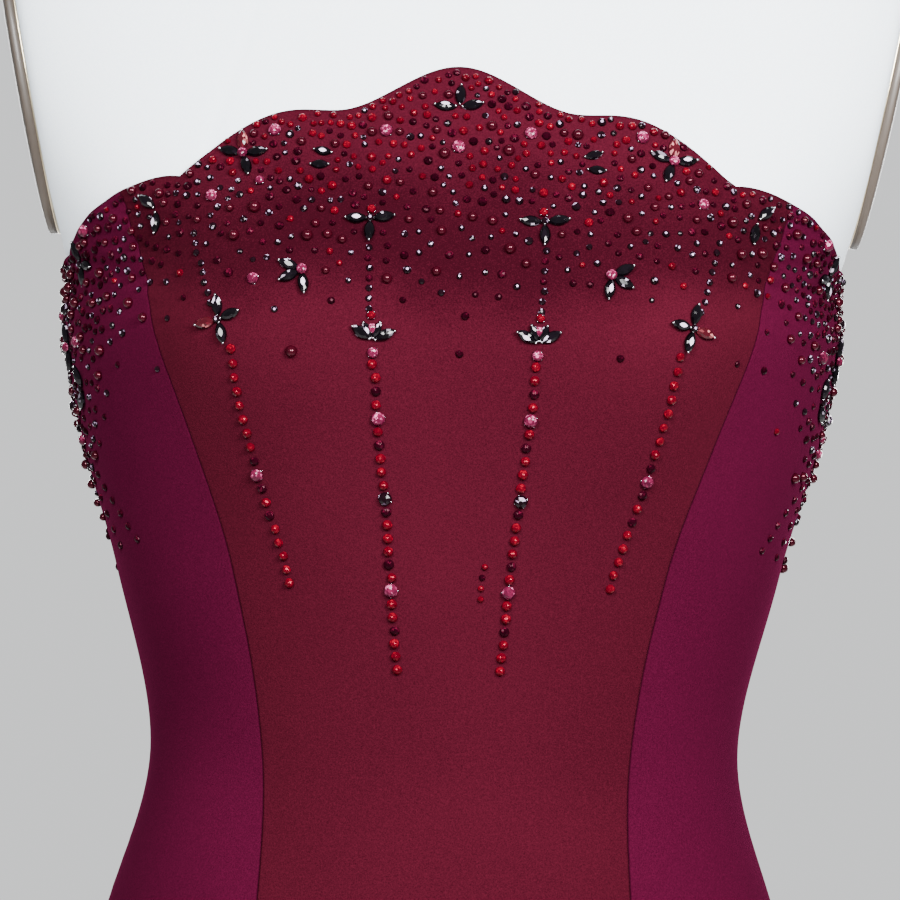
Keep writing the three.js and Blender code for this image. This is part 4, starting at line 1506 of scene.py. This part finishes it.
@dataclass
class DressForm:
    """The limbless form: torso with its cover, armhole plates, neck cap and bottom board."""

    figure: Figure
    bottom: float = 800
    top: float = 1566
    cover_seams: tuple[float, ...] = (46.0, -46.0, 90.0, -90.0, 134.0, -134.0, 180.0)
    seam_sink: float = 0.35
    plate_height: float = 1380
    plate_shift: float = 5
    plate_tall: float = 69
    plate_deep: float = 36
    plate_rim: float = 4
    plate_dome: float = 3
    trim_wire: float = 0.55
    trim_rise: float = 0.45
    trim_sides: int = 10
    columns: int = 360
    cover_line: float = 0.8  # a cover seam's half width in degrees
    cap_shift: float = 3.5

    def torso(self) -> tuple[Array, Array, Array]:
        """The cover: the figure itself, sunk by a narrow bell curve along its own seams."""
        hidden, seen = np.linspace(self.bottom, 1290, 70), np.linspace(1293, self.top, 130)
        rows = np.concatenate([hidden, seen])
        degrees = np.linspace(-180, 180, self.columns, endpoint=False)[None, :]
        height = rows[:, None] + np.zeros_like(degrees)
        turn = degrees + np.zeros_like(height)
        points, normals = self.figure.points(turn, height), self.figure.normals(turn, height)
        sink = np.zeros_like(turn)
        for seam in self.cover_seams:
            apart = (turn - seam + 540) % 360 - 180
            sink = sink + self.seam_sink * bell(apart, self.cover_line)
        high = smoothstep(1285, 1300, height)
        points = points - (sink * high)[..., None] * normals
        middles = points.mean(1)
        return capped(points, middles[0], middles[-1])

    def build(self, finishes: dict[str, Finish]) -> None:
        """Makes the form's pieces.

        Args:
            finishes: a material per part: cover, plate, trim and wood.
        """
        cover = make_mixed_piece("form_cover", *self.torso(), finishes["cover"])
        settle(cover, "form_cover", "form_torso")
        for side in Side:
            self.plate(side, finishes)
        self.cap(finishes["wood"])
        give_finish("form_base_board", finishes["wood"])

    def plate(self, side: Side, finishes: dict[str, Finish]) -> None:
        """Makes one armhole plate and the metal trim round its rim.

        The plate is a dome over an oval, leaning with the armhole; the trim is a round wire.

        Args:
            side: which side.
            finishes: the form's materials.
        """
        figure, name = self.figure, side.name.lower()
        lean = math.atan(figure.armhole_slope)
        above = self.plate_height - figure.armhole_height
        offset = figure.armhole_offset + figure.armhole_slope * above
        outward = Matrix.Rotation(side.value * math.pi / 2, 3, "Y")
        axes = np.array(Matrix.Rotation(side.value * lean, 3, "Y") @ outward).T
        centre = np.array([side.value * (offset + GAP), self.plate_shift, self.plate_height])
        share = np.linspace(0, np.pi / 2, 12)
        dome = np.stack([np.cos(share), self.plate_rim + self.plate_dome * np.sin(share)], -1)
        profile = np.concatenate([[(0, 0), (0.97, 0), (1, 0.6)], dome])
        points, corners, sizes = revolve(profile)
        points = points * (self.plate_tall, self.plate_deep, 1) @ axes + centre
        cover = f"armhole_plate_cover_{name}"
        plate = make_mixed_piece(cover, points, corners, sizes, finishes["plate"])
        settle(plate, "plate_paint", f"armhole_plate_{name}")
        around = np.linspace(0, 2 * np.pi, TURNED_SIDES, endpoint=False)[:, None]
        tube = np.linspace(0, 2 * np.pi, self.trim_sides, endpoint=False)[None, :]
        grow = self.trim_wire * np.cos(tube)
        rim = np.stack([
            (self.plate_tall + grow) * np.cos(around),
            (self.plate_deep + grow) * np.sin(around),
            self.trim_rise + self.trim_wire * np.sin(tube) + 0 * around,
        ], -1)
        faces = grid_faces(TURNED_SIDES, self.trim_sides, wrap=True, loop=True)[:, ::-1]
        points = rim.reshape(-1, 3) @ axes + centre
        settle(make_piece(f"armhole_trim_{name}", points, faces, finishes["trim"]), "plate_paint")

    def cap(self, wood: Finish) -> None:
        """Makes the turned neck cap.

        Args:
            wood: its finish.
        """
        base = self.top + GAP
        profile = rounded((
            (0, base, 0), (55, base, 0.4), (57, base + 3, 1.5), (56, base + 7, 1.5),
            (39.6, base + 11, 4), (16.5, base + 14, 3), (11.5, base + 17, 1.5),
            (12.5, base + 20.5, 1.5), (6, base + 22, 2), (0, base + 22, 0),
        ))
        turned = revolve(profile, (0, self.cap_shift, 0))
        cap = make_mixed_piece("neck_cap_turned", *turned, wood)
        settle(cap, "wood", "neck_cap")


@dataclass
class Stand:
    """The stand: a round steel base, a hub and a pole."""

    base_radius: float = 175
    base_thickness: float = 12
    hub_radius: float = 30
    hub_height: float = 34
    pole_radius: float = 14
    pole_top: float = 787.4

    def build(self, steel: Finish) -> None:
        """Makes the stand's turned pieces.

        Args:
            steel: their finish.
        """
        r, t = self.base_radius, self.base_thickness
        foot = t + GAP
        neck = foot + self.hub_height
        pieces = {
            "stand_base": ((0, 0, 0), (r, 0, 1), (r, t, 3.5), (0, t, 0)),
            "stand_hub": (
                (0, foot, 0), (self.hub_radius, foot, 0.8), (self.hub_radius, foot + 9, 3),
                (20, foot + 14, 4), (19, neck, 1.5), (0, neck, 0),
            ),
            "stand_pole": (
                (0, neck + GAP, 0), (self.pole_radius, neck + GAP, 0.4),
                (self.pole_radius, self.pole_top, 0.4), (0, self.pole_top, 0),
            ),
        }
        for node, corners in pieces.items():
            turned = revolve(rounded(corners))
            settle(make_mixed_piece(node + "_turned", *turned, steel), "stand_steel", node)


@dataclass
class BackZip:
    """The closed zip: tapes under the panels, two rows of coil teeth, and the solids' slider."""

    gown: Gown
    tape_bottom: float = 884
    tape_top: float = 1285.6
    tape_half: float = 11
    tape_under: float = 0.12
    tape_over: float = 0.6
    coil_bottom: float = 899
    coil_top: float = 1281.5
    coil_place: float = 0.72
    coil_rise: float = 1.15
    pitch: float = 1.4
    coil_half: float = 1.25
    coil_thick: float = 0.42
    coil_apart: float = 0.45  # how far a row of teeth lies from the middle
    seed: int = 5

    def tape(self) -> tuple[Array, Array, Array]:
        """The two tapes' cloth as one strip: a grid over the form at two heights, joined round.

        Returns:
            Points, face corners and face sizes.
        """
        height = np.linspace(self.tape_bottom, self.tape_top, 150)[:, None]
        across = np.linspace(-self.tape_half, self.tape_half, 13)[None, :]
        reach = np.abs(self.gown.figure.points(np.array(180.0), height)[..., 1])
        degrees = 180 - np.degrees(across / reach)
        point = self.gown.figure.points(degrees, height)
        normal = self.gown.figure.normals(degrees, height)
        ring = np.concatenate([
            point + self.tape_over * normal, (point + self.tape_under * normal)[:, ::-1]
        ], 1)
        rows, columns = ring.shape[:2]
        faces = grid_faces(rows, columns, wrap=True)[:, ::-1]
        ends = np.concatenate([np.arange(columns), (rows * columns - 1) - np.arange(columns)])
        sizes = np.repeat([4, columns], [len(faces), 2])
        return ring, np.concatenate([faces.ravel(), ends]), sizes

    def build(self, tape: Finish, teeth: Finish, metal: Finish) -> None:
        """Makes the tapes and the teeth, and dresses the slider and the pull.

        Args:
            tape: the tape's finish.
            teeth: the teeth's finish.
            metal: the slider's finish.
        """
        points, corners, sizes = self.tape()
        piece = make_mixed_piece("zip_tape", points, corners, sizes, tape, False)
        settle(piece, "zip_tape")
        height = np.arange(self.coil_bottom, self.coil_top, self.pitch / 2)
        place = self.gown.figure.points(np.full_like(height, 180.0), height)
        tooth = Setting(Cut.turned(((0.85, 0), (1.0, 0.35), (0.9, 0.75), (0.5, 1.0)), 8))
        axes = np.diag([-self.coil_half, self.coil_thick, self.coil_rise])[:, [0, 2, 1]]
        for i, (_, y, z) in enumerate(place):
            across = self.coil_apart if i % 2 else -self.coil_apart
            tooth.add(np.array([across, y + self.coil_place, z]), axes, 1.0, 0.5)
        chain = tooth.build("zip_teeth", teeth, np.random.default_rng(self.seed), True)
        settle(chain, "zip_tape", "zip_chain")
        for node in ("zip_slider", "zip_pull"):
            give_finish(node, metal)


LAMPS = (  # name, place and size in metres, power in watts
    ("soft box left", (-0.34, -1.2, 1.66), (0.5, 0.42), 33),
    ("soft box right", (0.5, -1.15, 1.64), (0.55, 0.42), 53),
    ("soft box back", (0.2, 3.0, 1.9), (2.2, 2.2), 230),
)


@dataclass
class Studio:
    """A plain pale floor in pale surroundings, two soft boxes in front and one behind, a camera."""

    target: tuple[float, float, float] = (0.0, 0.0, 1.224)
    distance: float = 2.2
    turn: float = 0.6  # degrees to the wearer's right of square
    frame_width: float = 0.378
    sensor: float = 36
    roll: float = 1.1
    lamp_aim: float = 1.15  # the height that the lamps face
    floor_half: float = 9
    floor_glow: float = 0.84
    pale: tuple[float, float, float, float] = (0.8, 0.81, 0.82, 1)
    sky: tuple[float, float, float, float] = (0.9, 0.93, 1, 1)
    sky_strength: float = 0.32
    seen_strength: float = 1.18

    def camera(self) -> None:
        """Makes the camera: level, nearly square to the front, and rolled as the photo is."""
        data = bpy.data.cameras.new("camera")
        data.sensor_width = self.sensor
        data.lens = self.sensor * self.distance / self.frame_width
        camera = bpy.data.objects.new("camera", data)
        turn = math.radians(self.turn)
        back = np.array([-math.sin(turn), -math.cos(turn), 0])
        camera.location = np.array(self.target) + self.distance * back
        aim = (
            Matrix.Rotation(-turn, 3, "Z")
            @ Matrix.Rotation(math.radians(90), 3, "X")
            @ Matrix.Rotation(math.radians(self.roll), 3, "Z")
        )
        camera.rotation_euler = aim.to_euler()
        bpy.context.scene.collection.objects.link(camera)
        bpy.context.scene.camera = camera

    def lamp(self, name: str, place: tuple, size: tuple, power: float) -> None:
        """Makes one soft box that faces the bodice.

        Args:
            name: its name.
            place: where it stands, in metres.
            size: its width and height.
            power: its power in watts.
        """
        data = bpy.data.lights.new(name, "AREA")
        data.shape = "RECTANGLE"
        data.size, data.size_y = size
        data.energy = power
        lamp = bpy.data.objects.new(name, data)
        lamp.location = place
        ahead = unit(np.array(place, float) - np.array((0, 0, self.lamp_aim)))
        right = unit(np.cross((0, 0, 1), ahead))
        axes = Matrix(np.stack([right, np.cross(ahead, right), ahead], -1).tolist())
        lamp.rotation_euler = axes.to_euler()
        bpy.context.scene.collection.objects.link(lamp)

    def keep_pale(self, finish: Finish) -> None:
        """Adds an even glow to the floor that only the camera sees, so it stays pale far away.

        Args:
            finish: the floor's material.
        """
        w, nodes = Wiring(finish.node_tree), finish.node_tree.nodes
        shader = nodes["Principled BSDF"].outputs[0]
        glow = w.node("ShaderNodeEmission", {"Color": self.pale, "Strength": self.floor_glow})
        both = w.node("ShaderNodeAddShader")
        w.put(shader, both.inputs[0])
        w.put(glow.outputs[0], both.inputs[1])
        w.show_camera(shader, both.outputs[0], nodes["Material Output"].inputs["Surface"])

    def surroundings(self) -> None:
        """Makes a soft even light all round, and pale surroundings that only the camera sees."""
        world = bpy.data.worlds.new("pale surroundings")
        bpy.context.scene.world = world
        world.use_nodes = True
        w, nodes = Wiring(world.node_tree), world.node_tree.nodes
        shade = nodes["Background"]
        w.fill(shade, {"Color": self.sky, "Strength": self.sky_strength})
        seen = w.node("ShaderNodeBackground", {"Color": self.pale, "Strength": self.seen_strength})
        w.show_camera(shade.outputs[0], seen.outputs[0], nodes["World Output"].inputs["Surface"])

    def build(self) -> None:
        """Makes the floor, the lights, the pale surroundings and the camera."""
        floor_finish = HardFinish("pale floor", (0.74, 0.74, 0.73), (0.8, 0.8, 0.79), 0.8,
                                  relief=0.02, grain_scale=(3, 3, 3)).build()
        self.keep_pale(floor_finish)
        corners = np.array([(-1, -1, 0), (1, -1, 0), (1, 1, 0), (-1, 1, 0)]) * self.floor_half / MM
        make_piece("floor", corners, np.array([[0, 1, 2, 3]]), floor_finish)
        for lamp in LAMPS:
            self.lamp(*lamp)
        self.surroundings()
        self.camera()


def finishes() -> dict[str, Finish]:
    """Makes every finish of the gown, its stones, its form and its stand."""
    grain = cloth_grain()
    cloths = (
        # both wine crepes darken a band across the bust as painted shade
        ClothFinish("wine crepe", (0.0162, 0.0013, 0.0038), (0.0455, 0.0039, 0.0099), 0.05,
                    (1.0, 0.16, 0.26), 0.75, 2200, 0.5, band_shade=0.55),
        ClothFinish("wine crepe sides", (0.0195, 0.001, 0.0062), (0.053, 0.0028, 0.0158), 0.05,
                    (1.0, 0.1, 0.38), 0.7, 2200, 0.5, band_shade=0.12),
        ClothFinish("white cover cloth", (0.81, 0.89, 0.98), (0.89, 0.955, 1.0), 0.1,
                    (1, 1, 1), 0.8, 1400, 0.35, specular=0.25),
        ClothFinish("zip tape", (0.018, 0.0012, 0.0036), (0.036, 0.0028, 0.0075), 0.05,
                    (1.0, 0.12, 0.26), 0.7, 3000, 0.4),
    )
    stones = (
        StoneFinish("red stone", (0.024, 0.0006, 0.0022), (0.075, 0.001, 0.0052),
                    (0.19, 0.0008, 0.0095), specular=0.3, glint=(1, 0.16, 0.2)),
        StoneFinish("jet stone", (0.002, 0.0004, 0.001), (0.009, 0.0016, 0.0046),
                    (0.42, 0.3, 0.46), specular=0.2, middle_tone=0.78),
        StoneFinish("wine pearl", (0.034, 0.001, 0.0055), (0.045, 0.0014, 0.0072),
                    (0.06, 0.002, 0.0098), roughness=0.1, metallic=0.5, specular=0.38,
                    glint=(1, 0.85, 0.88)),
        StoneFinish("wine stone", (0.0045, 0.0002, 0.0012), (0.014, 0.0005, 0.0033),
                    (0.07, 0.003, 0.014), specular=0.06, glint=(1, 0.4, 0.5)),
        StoneFinish("rose stone", (0.02, 0.001, 0.006), (0.11, 0.007, 0.03),
                    (0.6, 0.13, 0.27), specular=0.3, glint=(1, 0.7, 0.8)),
        StoneFinish("black diamond", (0.0008, 0.0005, 0.0009), (0.004, 0.002, 0.0042),
                    (0.6, 0.5, 0.63), specular=0.3, middle_tone=0.82),
        StoneFinish("rosy diamond", (0.01, 0.0006, 0.0016), (0.06, 0.004, 0.009),
                    (0.6, 0.2, 0.2), specular=0.3),
        StoneFinish("silver claw", (0.3, 0.28, 0.31), (0.45, 0.43, 0.46), (0.6, 0.58, 0.62),
                    roughness=0.16, metallic=1.0),
    )
    hard = (
        HardFinish("plate paint", (0.06, 0.046, 0.036), (0.095, 0.074, 0.058), 0.45, coat=0.1),
        HardFinish("plate trim", (0.7, 0.58, 0.4), (0.85, 0.74, 0.55), 0.25, metallic=1.0),
        HardFinish("varnished wood", (0.1, 0.045, 0.018), (0.2, 0.1, 0.045), 0.4, coat=0.3,
                   grain_scale=(30, 220, 220)),
        HardFinish("stand steel", (0.02, 0.02, 0.022), (0.035, 0.035, 0.038), 0.42, metallic=0.3,
                   coat=0.2, grain_scale=(400, 400, 400)),
        HardFinish("zip teeth", (0.03, 0.002, 0.006), (0.05, 0.004, 0.01), 0.35),
        HardFinish("zip enamel", (0.06, 0.006, 0.014), (0.09, 0.01, 0.022), 0.3,
                   metallic=0.5, coat=0.4),
    )
    body, sides, cover, tape = (c.build(grain) for c in cloths)
    red, jet, pearl, wine, rose, petal, rosy, claw = (s.build() for s in stones)
    plate, trim, wood, steel, teeth, metal = (h.build() for h in hard)
    return {
        "body": body, "sides": sides, "cover": cover, "tape": tape,
        "red": red, "jet": jet, "pearl": pearl, "wine": wine, "rose": rose,
        "petal": petal, "rosy_petal": rosy, "claw": claw,
        "plate": plate, "trim": trim, "wood": wood, "steel": steel, "teeth": teeth, "metal": metal,
    }


def main() -> None:
    """Dresses the gown, its form and its stand."""
    logging.basicConfig(level=logging.INFO, format="%(name)s: %(message)s")
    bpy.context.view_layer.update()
    looks = finishes()
    figure = Figure()
    gown = Gown(figure, Neckline())
    gown.build(looks["body"], looks["sides"])
    StoneTrim(gown).build(looks)
    BackZip(gown).build(looks["tape"], looks["teeth"], looks["metal"])
    DressForm(figure).build(looks)
    Stand().build(looks["steel"])
    Studio().build()


if __name__ == "__main__":
    main()
